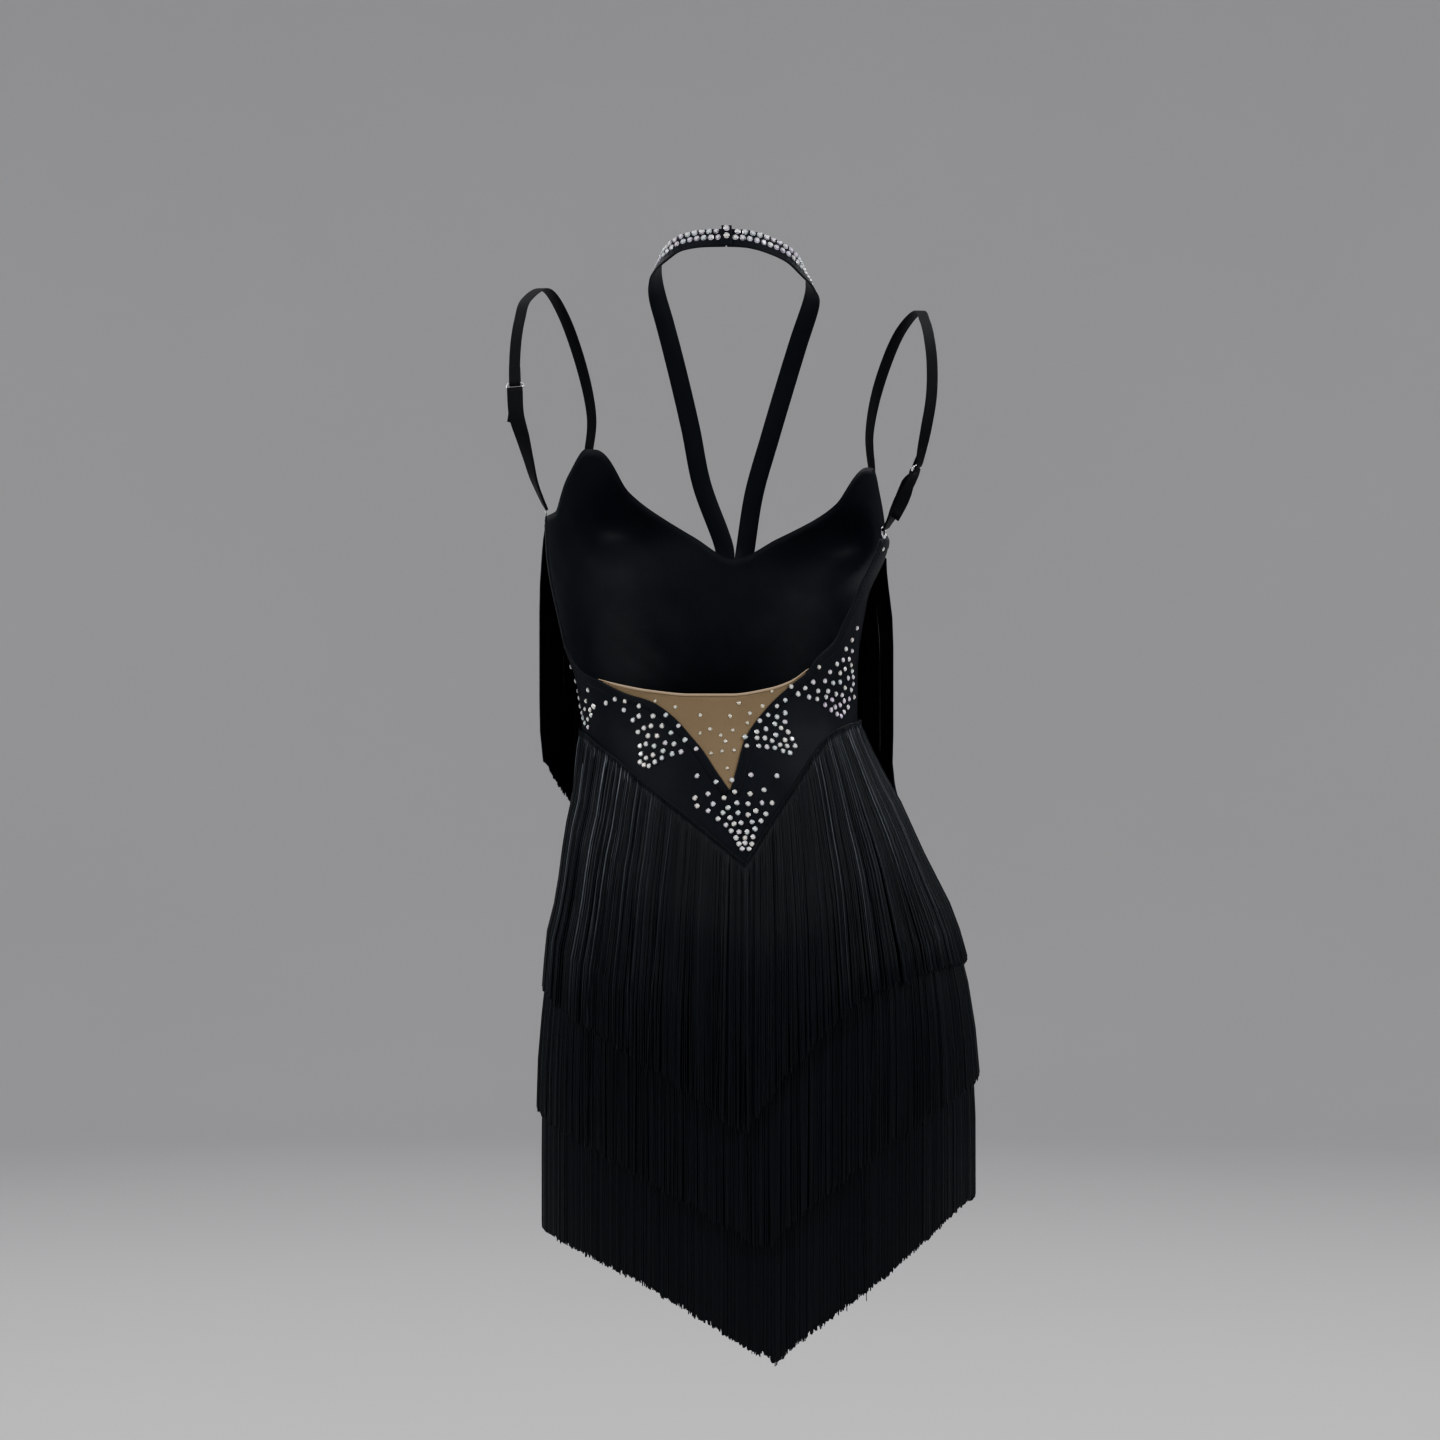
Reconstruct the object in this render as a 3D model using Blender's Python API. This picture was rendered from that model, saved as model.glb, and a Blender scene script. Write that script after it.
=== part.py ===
"""A backless salsa dance dress with tiers of fringe, in the form it keeps when worn.

Metres, +Z up. The wearer faces +Y, so the open back faces -Y. The origin is midway between the tops
of the two shoulder straps. Angles run round the body from the centre back towards +X: 90 is the side
seam at +X, 180 the centre front, 270 (or -90) the side seam at -X. Heights are in millimetres.
"""

import math
import random
from collections import namedtuple

import bmesh
import bpy
from mathutils import Vector

MM = 0.001

# Cloth and trim, mm
CLOTH = 1.5
NET = 1.1
SEAM_GAP = 0.35
SEAT = 0.9
STRAP_SEAT = 1.1
BAND_SEAT = 0.7
NET_GAP = 0.8
BINDING_TALL = 3.2
BINDING_THICK = 1.9

# Fringe, mm
STRIP_TALL = 8.0
FRINGE_THICK = 1.8
TIER_PITCH = 3.7
HANG_OFF = 1.1
HANG_OFF_BY = 14.0
LOCK_SHARE = 0.86
END_UNEVEN = 2.5
RAMP_LEAD = 50.0
RAMP_LONG = 42.0
RAMP_AHEAD = 8.0
FALL_STEP = 5.0

# Straps, hardware and neckband, mm
STRAP_WIDE, STRAP_THICK = 8.5, 1.5
LOOP_WIDE, LOOP_THICK = 12.0, 2.4
WIRE = 1.5
SLIDER_WIDE, SLIDER_TALL = 13.0, 7.0
RING_ACROSS = 8.5
BAND_WIDE, BAND_THICK = 15.0, 1.6

# The cloth's outer face, level by level: its middle, half width, and depth to the back and front.
Level = namedtuple("Level", "z middle half back front")
FIGURE = (
    Level(-100, -9.0, 128.0, 95, 84),
    Level(-150, -12.0, 131.0, 92, 92),
    Level(-183, -12.0, 131.0, 88, 97),
    Level(-229, -17.0, 120.0, 78, 93),
    Level(-259, -16.5, 114.0, 72, 88),
    Level(-298, -11.5, 107.0, 69, 84),
    Level(-320, -10.2, 105.8, 72, 85),
    Level(-347, -6.0, 110.0, 80, 88),
    Level(-373, -0.5, 117.0, 88, 92),
    Level(-408, 5.3, 126.5, 99, 96),
    Level(-439, 10.5, 135.5, 108, 99),
    Level(-487, 16.0, 147.5, 118, 101),
    Level(-534, 18.5, 155.5, 122, 101),
    Level(-580, 19.3, 160.3, 122, 100),
    Level(-616, 19.5, 161.5, 121, 100),
    Level(-820, 19.7, 161.7, 120, 100),
)
SQUARENESS = 2.2

# The bust cups, shaped by darts.
Cup = namedtuple("Cup", "turn z rise turn_spread up_spread down_spread")
CUPS = (
    Cup(138, -186, 21.0, 17.0, 34.0, 24.0),
    Cup(210, -170, 21.0, 17.0, 34.0, 24.0),
)

# The back's top edge from the side seam at -X to the one at +X, and where each line of the cloth
# that starts on it meets the hem.
Edge = namedtuple("Edge", "turn z hem_turn")
OPENING_LEFT = (
    Edge(-90, -166, -90),
    Edge(-81, -166, -84),
    Edge(-79, -184, -80),
    Edge(-78, -214, -76),
    Edge(-76.5, -245, -72),
    Edge(-76.5, -262, -69),
    Edge(-75, -275, -66),
    Edge(-66, -284.5, -60),
    Edge(-52, -292, -50),
)
NET_V = (
    Edge(-39, -301, -40),
    Edge(-27.7, -307, -30),
    Edge(-18.7, -318.5, -21),
    Edge(-12.3, -333, -14),
    Edge(-8.3, -344, -9),
    Edge(-5, -357.5, -4),
    Edge(-1, -373.5, 4),
    Edge(4.1, -354, 10),
    Edge(8.9, -335.5, 15),
    Edge(16, -319, 21),
    Edge(23, -305.5, 27),
    Edge(30.4, -294.5, 33),
)
OPENING_RIGHT = (
    Edge(38.8, -283.5, 40),
    Edge(42.3, -275.5, 45),
    Edge(53, -260.5, 53),
    Edge(57.6, -245.5, 59),
    Edge(62.7, -230, 65),
    Edge(64, -215, 70),
    Edge(65, -200, 74),
    Edge(67, -184, 78),
    Edge(74, -184, 82),
    Edge(82, -183.5, 86),
    Edge(90, -183, 90),
)

Place = namedtuple("Place", "turn z")
NET_TOP = (
    Place(-53.5, -291.0),
    Place(-39, -296.6),
    Place(-27.5, -300.0),
    Place(-11, -302.8),
    Place(5, -302.8),
    Place(21, -298.4),
    Place(29.5, -293.3),
    Place(38.6, -283.2),
)
NET_ENDS = (Edge(-47, -294.4, -46), Edge(35.5, -288.3, 37))
NET_LEAST_TALL = 1.5
NECKLINE = (
    Place(90, -183),
    Place(100, -178),
    Place(109, -150),
    Place(116, -126),
    Place(121, -125),
    Place(140, -152),
    Place(160, -178),
    Place(174, -194),
    Place(188, -176),
    Place(208, -142),
    Place(227, -110),
    Place(232, -110),
    Place(240, -130),
    Place(250, -160),
    Place(270, -166),
)
FRONT_TURN = 174.0

# The fringe tiers, from the top. Each hangs from a V: its height at the two sides and at its points.
Tier = namedtuple("Tier", "left back front right turn length rows")
TIERS = (
    Tier(-326, -425, -420, -319, 0, 200, (8, 42, 76, 118, 160)),
    Tier(-417, -508, -505, -400, 2, 200, (8, 42, 76, 130)),
    Tier(-507, -591, -588, -483, 4, 200, (8, 60, 128)),
)
V_POWER_LEFT, V_POWER_RIGHT = 0.96, 0.85
# The highest V is cut steeper at its points and runs flat round the hips: its rise by angle from the point
Rise = namedtuple("Rise", "angle share")
SEAM_LEFT = (Rise(0, 0), Rise(13, 0.27), Rise(27, 0.505), Rise(35, 0.625), Rise(44, 0.75), Rise(56, 0.865),
             Rise(70, 0.955), Rise(90, 1))
SEAM_RIGHT = (Rise(0, 0), Rise(13, 0.325), Rise(19, 0.455), Rise(28, 0.625), Rise(36, 0.755), Rise(43, 0.85),
              Rise(52, 0.92), Rise(66, 0.965), Rise(90, 1))
TIER_LOCKS = 56
BUST_LOCKS = 34
BUST_ENDS = (97.0, 263.0)
BUST_LEFT, BUST_RIGHT = -170, -187
BUST_LENGTH = 182
BUST_ROWS = (8, 58, 110, 150)
Drop = namedtuple("Drop", "turn_from_front below_side")
BUST_DROPS = (
    Drop(0, 128),
    Drop(15, 114),
    Drop(30, 95),
    Drop(45, 72),
    Drop(56, 50),
    Drop(61, 35),
    Drop(69, 19),
    Drop(84, 0),
)
HEM_BELOW = 15.0

PANEL_ROWS = 17
FRONT_COLUMNS = 30

# Routes of the straps and neckband: each point, and the way the band faces there.
Stop = namedtuple("Stop", "x y z face_x face_y face_z")
STRAP_LEFT = (
    Stop(-110, 60, -84, -0.50, 0.85, 0.15),
    Stop(-117, 54, -48, -0.28, 0.87, 0.40),
    Stop(-130, 33, -10, -0.10, 0.60, 0.80),
    Stop(-143, 0, 8, 0.00, 0.00, 1.00),
    Stop(-156, -34, -4, -0.10, -0.60, 0.80),
    Stop(-160, -52, -21, -0.12, -0.85, 0.50),
    Stop(-162, -65, -39, -0.15, -0.95, 0.25),
    Stop(-162.6, -73, -57, -0.15, -0.98, 0.12),
)
STRAP_RIGHT = (
    Stop(106, 46, -98, 0.68, 0.72, 0.10),
    Stop(113, 45, -62, 0.32, 0.86, 0.40),
    Stop(127, 31, -25, 0.10, 0.60, 0.80),
    Stop(141, 0, -9, 0.00, 0.00, 1.00),
    Stop(145, -30, -20, 0.10, -0.60, 0.80),
    Stop(147, -52, -36, 0.12, -0.85, 0.50),
    Stop(148, -67, -56, 0.15, -0.95, 0.25),
    Stop(147, -76, -80, 0.15, -0.98, 0.10),
    Stop(143, -79, -104, 0.20, -0.97, 0.00),
    Stop(139.5, -75, -122, 0.30, -0.93, -0.05),
)
SLIDER_LEFT = Stop(-162, -77, -73, -0.15, -0.98, 0.08)
SLIDER_RIGHT = Stop(136, -70, -133, 0.40, -0.88, -0.10)
LOOP_LEFT = (
    Stop(-161, -80, -94, -0.30, -0.95, 0.00),
    Stop(-156.5, -78, -111, -0.45, -0.89, -0.05),
    Stop(-152.5, -68, -128, -0.70, -0.70, -0.10),
    Stop(-149, -53, -143, -0.90, -0.42, -0.10),
)
LOOP_RIGHT = (
    Stop(131, -65, -143, 0.55, -0.82, -0.10),
    Stop(126, -58, -155, 0.70, -0.70, -0.10),
    Stop(120.5, -51, -167, 0.82, -0.56, -0.10),
)
RING_TURN_LEFT, RING_TURN_RIGHT = -84.0, 71.5
NECK_LEFT = (
    Stop(-5.6, -60, 39.6, -0.02, -0.95, 0.30),
    Stop(-25, -55.5, 39.2, -0.26, -0.88, 0.38),
    Stop(-40, -50, 36.4, -0.44, -0.78, 0.45),
    Stop(-50, -41, 30.2, -0.54, -0.72, 0.46),
    Stop(-56.8, -26, 23.8, -0.66, -0.54, 0.56),
    Stop(-59.3, -4, 16, -0.70, -0.14, 0.70),
    Stop(-58, 17, 4.5, -0.58, 0.32, 0.75),
    Stop(-52, 38, -16, -0.44, 0.62, 0.65),
    Stop(-43, 58, -50, -0.28, 0.85, 0.44),
    Stop(-33, 76, -92, -0.15, 0.94, 0.30),
    Stop(-24, 90, -136, -0.08, 0.98, 0.18),
)
NECK_RIGHT = (
    Stop(-4.4, -60, 39.6, 0.02, -0.95, 0.30),
    Stop(12, -58.5, 38.5, 0.16, -0.92, 0.35),
    Stop(28, -54, 34.2, 0.34, -0.84, 0.40),
    Stop(42, -47, 27.8, 0.46, -0.78, 0.44),
    Stop(52, -35, 18.2, 0.58, -0.64, 0.52),
    Stop(59, -15, 9.5, 0.68, -0.38, 0.64),
    Stop(60, 8, -1, 0.62, 0.16, 0.76),
    Stop(51, 38, -28, 0.42, 0.64, 0.64),
    Stop(41, 58, -60, 0.26, 0.86, 0.44),
    Stop(29, 76, -100, 0.14, 0.94, 0.30),
    Stop(17, 90, -142, 0.07, 0.98, 0.18),
)
NECK_TURN_OFF = 3.7
CLOSURE_LONG, CLOSURE_WIDE, CLOSURE_THICK = 12.0, 16.6, 1.4
# How far the closure's middle sits above the bands'
CLOSURE_UP = 1.0

BLACK = (0.006, 0.007, 0.009, 1)
NUDE = (0.42, 0.27, 0.17, 1)
SILVER = (0.75, 0.75, 0.77, 1)


def clear_scene():
    for obj in list(bpy.data.objects):
        bpy.data.objects.remove(obj)


def material(name, colour, roughness, metallic=0.0):
    made = bpy.data.materials.new(name)
    made.use_nodes = True
    shader = made.node_tree.nodes["Principled BSDF"]
    shader.inputs["Base Color"].default_value = colour
    shader.inputs["Roughness"].default_value = roughness
    shader.inputs["Metallic"].default_value = metallic
    return made


def smooth_through(xs, ys):
    """A smooth function through the points that never swings past them."""
    steps = [b - a for a, b in zip(xs, xs[1:])]
    rises = [(b - a) / s for a, b, s in zip(ys, ys[1:], steps)]
    slopes = [rises[0]]
    for before, after in zip(rises, rises[1:]):
        same_way = before * after > 0
        slopes.append(2 * before * after / (before + after) if same_way else 0.0)
    slopes.append(rises[-1])

    def value(x):
        x = min(max(x, xs[0]), xs[-1])
        i = 0
        while i < len(steps) - 1 and x > xs[i + 1]:
            i += 1
        t = (x - xs[i]) / steps[i]
        rest = 1 - t
        ends = ys[i] * (1 + 2 * t) * rest * rest + ys[i + 1] * (1 + 2 * rest) * t * t
        return ends + steps[i] * t * rest * (slopes[i] * rest - slopes[i + 1] * t)

    return value


DEPTHS = [-level.z for level in FIGURE]
MIDDLE, HALF, BACK, FRONT = (
    smooth_through(DEPTHS, [getattr(level, name) for level in FIGURE])
    for name in ("middle", "half", "back", "front")
)


def ease(x):
    x = min(max(x, 0.0), 1.0)
    return x * x * (3 - 2 * x)


def cup_rise(turn, z):
    total = 0.0
    for cup in CUPS:
        across = (turn % 360 - cup.turn) / cup.turn_spread
        along = (z - cup.z) / (cup.up_spread if z > cup.z else cup.down_spread)
        total += cup.rise * math.exp(-(across * across) - along * along)
    return total


def outer_face(turn, z):
    """The point of the cloth's outer face at this angle and height."""
    s, c = math.sin(math.radians(turn)), math.cos(math.radians(turn))
    size = (abs(s) ** SQUARENESS + abs(c) ** SQUARENESS) ** (-1 / SQUARENESS)
    depth = BACK(-z) if c > 0 else FRONT(-z)
    flat = Vector((HALF(-z) * size * s, -depth * size * c, 0))
    flat += flat.normalized() * cup_rise(turn, z)
    return flat + Vector((MIDDLE(-z), 0, z))


def away(turn, z):
    """The outward direction of the cloth there."""
    around = outer_face(turn + 0.5, z) - outer_face(turn - 0.5, z)
    down = outer_face(turn, z - 2) - outer_face(turn, z + 2)
    return down.cross(around).normalized()


def skin(turn, z, lift=0.0):
    return outer_face(turn, z) + away(turn, z) * lift


def turn_of(point):
    """The angle at which this point lies round the body."""
    x, y, z = point
    depth = BACK(-z) if y < 0 else FRONT(-z)
    return math.degrees(math.atan2((x - MIDDLE(-z)) / HALF(-z), -y / depth))


def add_mesh(name, points, faces, look):
    """One closed body from points in mm."""
    mesh = bpy.data.meshes.new(name)
    mesh.from_pydata([Vector(p) * MM for p in points], [], faces)
    form = bmesh.new()
    form.from_mesh(mesh)
    bmesh.ops.recalc_face_normals(form, faces=form.faces)
    if form.calc_volume(signed=True) < 0:
        bmesh.ops.reverse_faces(form, faces=form.faces)
    form.to_mesh(mesh)
    form.free()
    mesh.shade_smooth()
    mesh.set_sharp_from_angle(angle=math.radians(40))
    mesh.materials.append(look)
    obj = bpy.data.objects.new(name, mesh)
    bpy.context.scene.collection.objects.link(obj)
    return obj


def two_faced(name, outer, inner, look):
    """A wall between two grids of points of the same size."""
    rows, columns = len(outer), len(outer[0])
    points = [p for grid in (outer, inner) for row in grid for p in row]
    back = rows * columns

    def at(i, j, side=0):
        return side * back + i * columns + j

    faces = []
    for i in range(rows - 1):
        for j in range(columns - 1):
            near = (at(i, j), at(i + 1, j), at(i + 1, j + 1), at(i, j + 1))
            faces += [near, tuple(back + n for n in reversed(near))]
    rim = [(0, j) for j in range(columns)]
    rim += [(i, columns - 1) for i in range(1, rows)]
    rim += [(rows - 1, j) for j in range(columns - 2, -1, -1)]
    rim += [(i, 0) for i in range(rows - 2, 0, -1)]
    for a, b in zip(rim, rim[1:] + rim[:1]):
        faces.append((at(*a), at(*b), at(*b, 1), at(*a, 1)))
    return add_mesh(name, points, faces, look)


def crowded(share, focus=0.45, strength=0.45):
    """The same 0 to 1, with steps closer together about the focus, where the waist bends."""
    lap = 2 * math.pi
    return share - strength / lap * (math.sin(lap * (share - focus)) + math.sin(lap * focus))


def panel(name, columns, rows, look, lift=0.0, thick=CLOTH):
    """Cloth between a top and a bottom edge. Each column is (top turn, top z, bottom turn, bottom z)."""
    grids = []
    for height in (lift, lift - thick):
        grid = []
        for i in range(rows + 1):
            share = crowded(i / rows)
            line = []
            for top_turn, top_z, bottom_turn, bottom_z in columns:
                turn = top_turn + (bottom_turn - top_turn) * share
                line.append(skin(turn, top_z + (bottom_z - top_z) * share, height))
            grid.append(line)
        grids.append(grid)
    return two_faced(name, *grids, look)


def v_line(tier):
    """The height of a tier's V at any angle round the body."""
    seams = [smooth_through([r.angle for r in seam], [r.share for r in seam]) for seam in (SEAM_LEFT, SEAM_RIGHT)]

    def height(turn):
        away_from_point = math.radians(turn - tier.turn)
        at_right = math.sin(math.radians(turn)) > 0
        side = tier.right if at_right else tier.left
        point = tier.back if math.cos(math.radians(turn)) > 0 else tier.front
        widest = abs(math.cos(math.radians(tier.turn)))
        level = min(abs(math.sin(away_from_point)) / widest, 1.0)
        if tier is TIERS[0]:
            rise = seams[at_right](math.degrees(math.asin(level)))
        else:
            rise = level ** (V_POWER_RIGHT if at_right else V_POWER_LEFT)
        return point + (side - point) * rise

    return height


LINES = [v_line(tier) for tier in TIERS]
BUST_DROP = smooth_through([d.turn_from_front for d in BUST_DROPS], [d.below_side for d in BUST_DROPS])


def bust_line(turn):
    """The height of the bust fringe: steep beside the cups, flatter under them."""
    share = (turn - BUST_ENDS[0]) / (BUST_ENDS[1] - BUST_ENDS[0])
    return BUST_RIGHT + (BUST_LEFT - BUST_RIGHT) * share - BUST_DROP(abs(turn - FRONT_TURN))


def clearance(level, turn, z, gone):
    """How far off the cloth a tier hangs: one pitch further out for each tier that starts below it."""
    lift = SEAT + HANG_OFF * ease((gone - STRIP_TALL) / HANG_OFF_BY)
    for further, line in enumerate(LINES[level:]):
        start = line(turn) + RAMP_LEAD + RAMP_AHEAD * further
        lift += TIER_PITCH * ease((start - z) / RAMP_LONG)
    return lift


def fall(turn, z, length, level):
    """How a strand hangs: (distance, inner point, level outward direction) from its root down.

    It drops straight, and slides outward only where the figure or a lower tier pushes it.
    """
    point = skin(turn, z, clearance(level, turn, z, 0.0))
    out = away(turn, z)
    out = Vector((out.x, out.y, 0)).normalized()
    path = [(0.0, point.copy(), out)]
    gone = 0.0
    while gone < length + FALL_STEP:
        point.z -= FALL_STEP
        turn = turn_of(point)
        out = away(turn, point.z)
        out = Vector((out.x, out.y, 0)).normalized()
        support = skin(turn, point.z, clearance(level, turn, point.z, gone))
        pushed = max((support - point).dot(out), 0.0)
        point += out * pushed
        gone += math.hypot(FALL_STEP, pushed)
        path.append((gone, point.copy(), out))
    return path


def along(path, distance):
    """The (point, outward direction) at this distance down a strand."""
    for (gone, point, out), (later, below, out_below) in zip(path, path[1:]):
        if later >= distance:
            share = (distance - gone) / (later - gone)
            return point.lerp(below, share), out.lerp(out_below, share).normalized()
    raise ValueError("the strand is shorter than that")


def even_turns(line, start, end, count):
    """Angles that divide the cloth along a line into equal lengths."""
    fine = 360
    turns = [start + (end - start) * i / fine for i in range(fine + 1)]
    spots = [skin(turn, line(turn)) for turn in turns]
    gone = [0.0]
    for a, b in zip(spots, spots[1:]):
        gone.append(gone[-1] + math.hypot(b.x - a.x, b.y - a.y))
    found, i = [], 0
    for k in range(count + 1):
        wanted = gone[-1] * k / count
        while i < fine - 1 and gone[i + 1] < wanted:
            i += 1
        share = (wanted - gone[i]) / (gone[i + 1] - gone[i])
        found.append(turns[i] + (turns[i + 1] - turns[i]) * share)
    return found


def fringe(name, line, turns, closed, level, length, rows, look, seed):
    """A strip with locks hanging from it, all one body. The turns are the edges between the locks."""
    chance = random.Random(seed)
    count = len(turns) - 1
    falls = [fall(turn, line(turn), length + 2 * END_UNEVEN, level) for turn in turns]
    inset = (1 - LOCK_SHARE) / 2
    points, faces = [], []

    def corner_pair(cell, share, distance):
        """Numbers of the outer and inner points at this share of a cell's width."""
        a, out_a = along(falls[cell], distance)
        b, out_b = along(falls[cell + 1], distance)
        inner, out = a.lerp(b, share), out_a.lerp(out_b, share)
        points.extend([inner + out * FRINGE_THICK, inner])
        return len(points) - 2, len(points) - 1

    columns = []
    for cell in range(count):
        for share in (inset, 1 - inset):
            columns.append([corner_pair(cell, share, d) for d in (0.0, rows[0])])
    spans = len(columns) if closed else len(columns) - 1
    for k in range(spans):
        (a_top, a_low), (b_top, b_low) = columns[k], columns[(k + 1) % len(columns)]
        faces.append((a_top[0], a_low[0], b_low[0], b_top[0]))
        faces.append((a_top[1], b_top[1], b_low[1], a_low[1]))
        faces.append((a_top[0], b_top[0], b_top[1], a_top[1]))
        if k % 2:
            faces.append((a_low[0], a_low[1], b_low[1], b_low[0]))
    if not closed:
        for top, low in (columns[0], columns[-1]):
            faces.append((top[0], top[1], low[1], low[0]))
    for cell in range(count):
        left, right = columns[2 * cell][1], columns[2 * cell + 1][1]
        end = length + chance.uniform(-END_UNEVEN, END_UNEVEN)
        for distance in (*rows[1:], end):
            next_left = corner_pair(cell, inset, distance)
            next_right = corner_pair(cell, 1 - inset, distance)
            ring = (left[0], right[0], right[1], left[1])
            lower = (next_left[0], next_right[0], next_right[1], next_left[1])
            for n in range(4):
                m = (n + 1) % 4
                faces.append((ring[n], lower[n], lower[m], ring[m]))
            left, right = next_left, next_right
        faces.append((left[0], left[1], right[1], right[0]))
    return add_mesh(name, points, faces, look)


def smooth_route(stops, fine):
    """(point, facing) along a curve through the stops, with fine steps between each two."""
    spots = [Vector((s.x, s.y, s.z)) for s in stops]
    faces = [Vector((s.face_x, s.face_y, s.face_z)).normalized() for s in stops]
    route = []
    for i in range(len(spots) - 1):
        before, after = spots[max(i - 1, 0)], spots[min(i + 2, len(spots) - 1)]
        a, b = spots[i], spots[i + 1]
        for k in range(fine):
            t = k / fine
            bend = (b - before) * (t * (1 - t) ** 2) - (after - a) * (t * t * (1 - t))
            spot = a * (1 + 2 * t) * (1 - t) ** 2 + b * (3 - 2 * t) * t * t + bend / 2
            route.append((spot, faces[i].lerp(faces[i + 1], t).normalized()))
    route.append((spots[-1], faces[-1]))
    return route


def ribbon(name, route, wide, thick, look):
    """A flat band along a route of (point, facing)."""
    outer, inner = [], []
    for i, (spot, facing) in enumerate(route):
        ahead = route[min(i + 1, len(route) - 1)][0] - route[max(i - 1, 0)][0]
        across = ahead.cross(facing).normalized() * wide / 2
        out = across.cross(ahead).normalized() * thick / 2
        outer.append([spot + across + out, spot - across + out])
        inner.append([spot + across - out, spot - across - out])
    return two_faced(name, outer, inner, look)


def wire_loop(name, spots, look, sides=6):
    """A closed round wire through these points, which lie in one plane."""
    count = len(spots)
    middle = sum(spots, Vector()) / count
    flat = (spots[0] - middle).cross(spots[count // 4] - middle).normalized()
    points = []
    for i, spot in enumerate(spots):
        ahead = (spots[(i + 1) % count] - spots[i - 1]).normalized()
        side = ahead.cross(flat)
        for k in range(sides):
            angle = 2 * math.pi * k / sides
            points.append(spot + (side * math.cos(angle) + flat * math.sin(angle)) * WIRE / 2)
    faces = []
    for i in range(count):
        for k in range(sides):
            a, b = i * sides + k, i * sides + (k + 1) % sides
            over = ((i + 1) % count) * sides
            faces.append((a, b, over + (k + 1) % sides, over + k))
    return add_mesh(name, points, faces, look)


def rounded_loop(middle, facing, upright, wide, tall, corner, per_corner=3):
    """Points round a rectangle with round corners that faces one way."""
    facing = Vector(facing).normalized()
    across = Vector(upright).cross(facing).normalized()
    up = facing.cross(across)
    spots = []
    for quarter in range(4):
        start = quarter * math.pi / 2
        side_x = 1 if quarter in (0, 3) else -1
        side_y = 1 if quarter < 2 else -1
        for k in range(per_corner):
            angle = start + math.pi / 2 * k / (per_corner - 1)
            x = side_x * (wide / 2 - corner) + corner * math.cos(angle)
            y = side_y * (tall / 2 - corner) + corner * math.sin(angle)
            spots.append(middle + across * x + up * y)
    return spots


def hem_height(turn):
    return LINES[-1](turn) - HEM_BELOW


def make_back(look):
    columns = []
    for edge in (*OPENING_LEFT, *NET_V, *OPENING_RIGHT):
        columns.append([edge.turn, edge.z, edge.hem_turn, hem_height(edge.hem_turn)])
    inset = math.degrees(SEAM_GAP / 2 / HALF(-FIGURE[1].z))
    for column, way in ((columns[0], 1), (columns[-1], -1)):
        column[0] += way * inset
        column[2] += way * inset
    return panel("dress_back", columns, PANEL_ROWS, look)


def make_front(look):
    top = smooth_through([p.turn for p in NECKLINE], [p.z for p in NECKLINE])
    inset = math.degrees(SEAM_GAP / 2 / HALF(-FIGURE[1].z))
    first, last = 90 + inset, 270 - inset
    columns = []
    for k in range(FRONT_COLUMNS + 1):
        turn = first + (last - first) * k / FRONT_COLUMNS
        columns.append((turn, top(turn), turn, hem_height(turn)))
    return panel("dress_front", columns, PANEL_ROWS, look)


def make_net(net_look, binding_look):
    top = smooth_through([p.turn for p in NET_TOP], [p.z for p in NET_TOP])
    first, last = NET_ENDS
    columns = []
    for edge in (first, *NET_V, last):
        low = edge.z + NET_GAP
        high = max(top(edge.turn), low + NET_LEAST_TALL)
        columns.append((edge.turn, high, edge.turn, low))
    panel("net_insert", columns, 3, net_look, lift=-0.2, thick=NET)
    tops = [(NET_TOP[0].turn, NET_TOP[0].z), *(c[:2] for c in columns), (NET_TOP[-1].turn, NET_TOP[-1].z)]
    strip = []
    for turn, high in tops:
        low = high + SEAM_GAP
        strip.append((turn, low + BINDING_TALL, turn, low))
    panel("net_binding", strip, 1, binding_look, lift=0.2, thick=BINDING_THICK)


def make_fringes(look):
    for number, tier in enumerate(TIERS):
        line = LINES[number]
        half = TIER_LOCKS // 2
        right = even_turns(line, tier.turn, tier.turn + 180, half)
        left = even_turns(line, tier.turn + 180, tier.turn + 360, half)
        name = f"fringe_tier_{number + 1}"
        fringe(name, line, right + left[1:], True, number + 1, tier.length, tier.rows, look, number)
    turns = even_turns(bust_line, *BUST_ENDS, BUST_LOCKS)
    fringe("fringe_bust", bust_line, turns, False, 0, BUST_LENGTH, BUST_ROWS, look, len(TIERS))


def on_bodice(turn, z, seat, thick):
    """A stop on the bodice's outer face for a band of this thickness."""
    spot, face = skin(turn, z, seat + thick / 2), away(turn, z)
    return Stop(*spot, *face)


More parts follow.
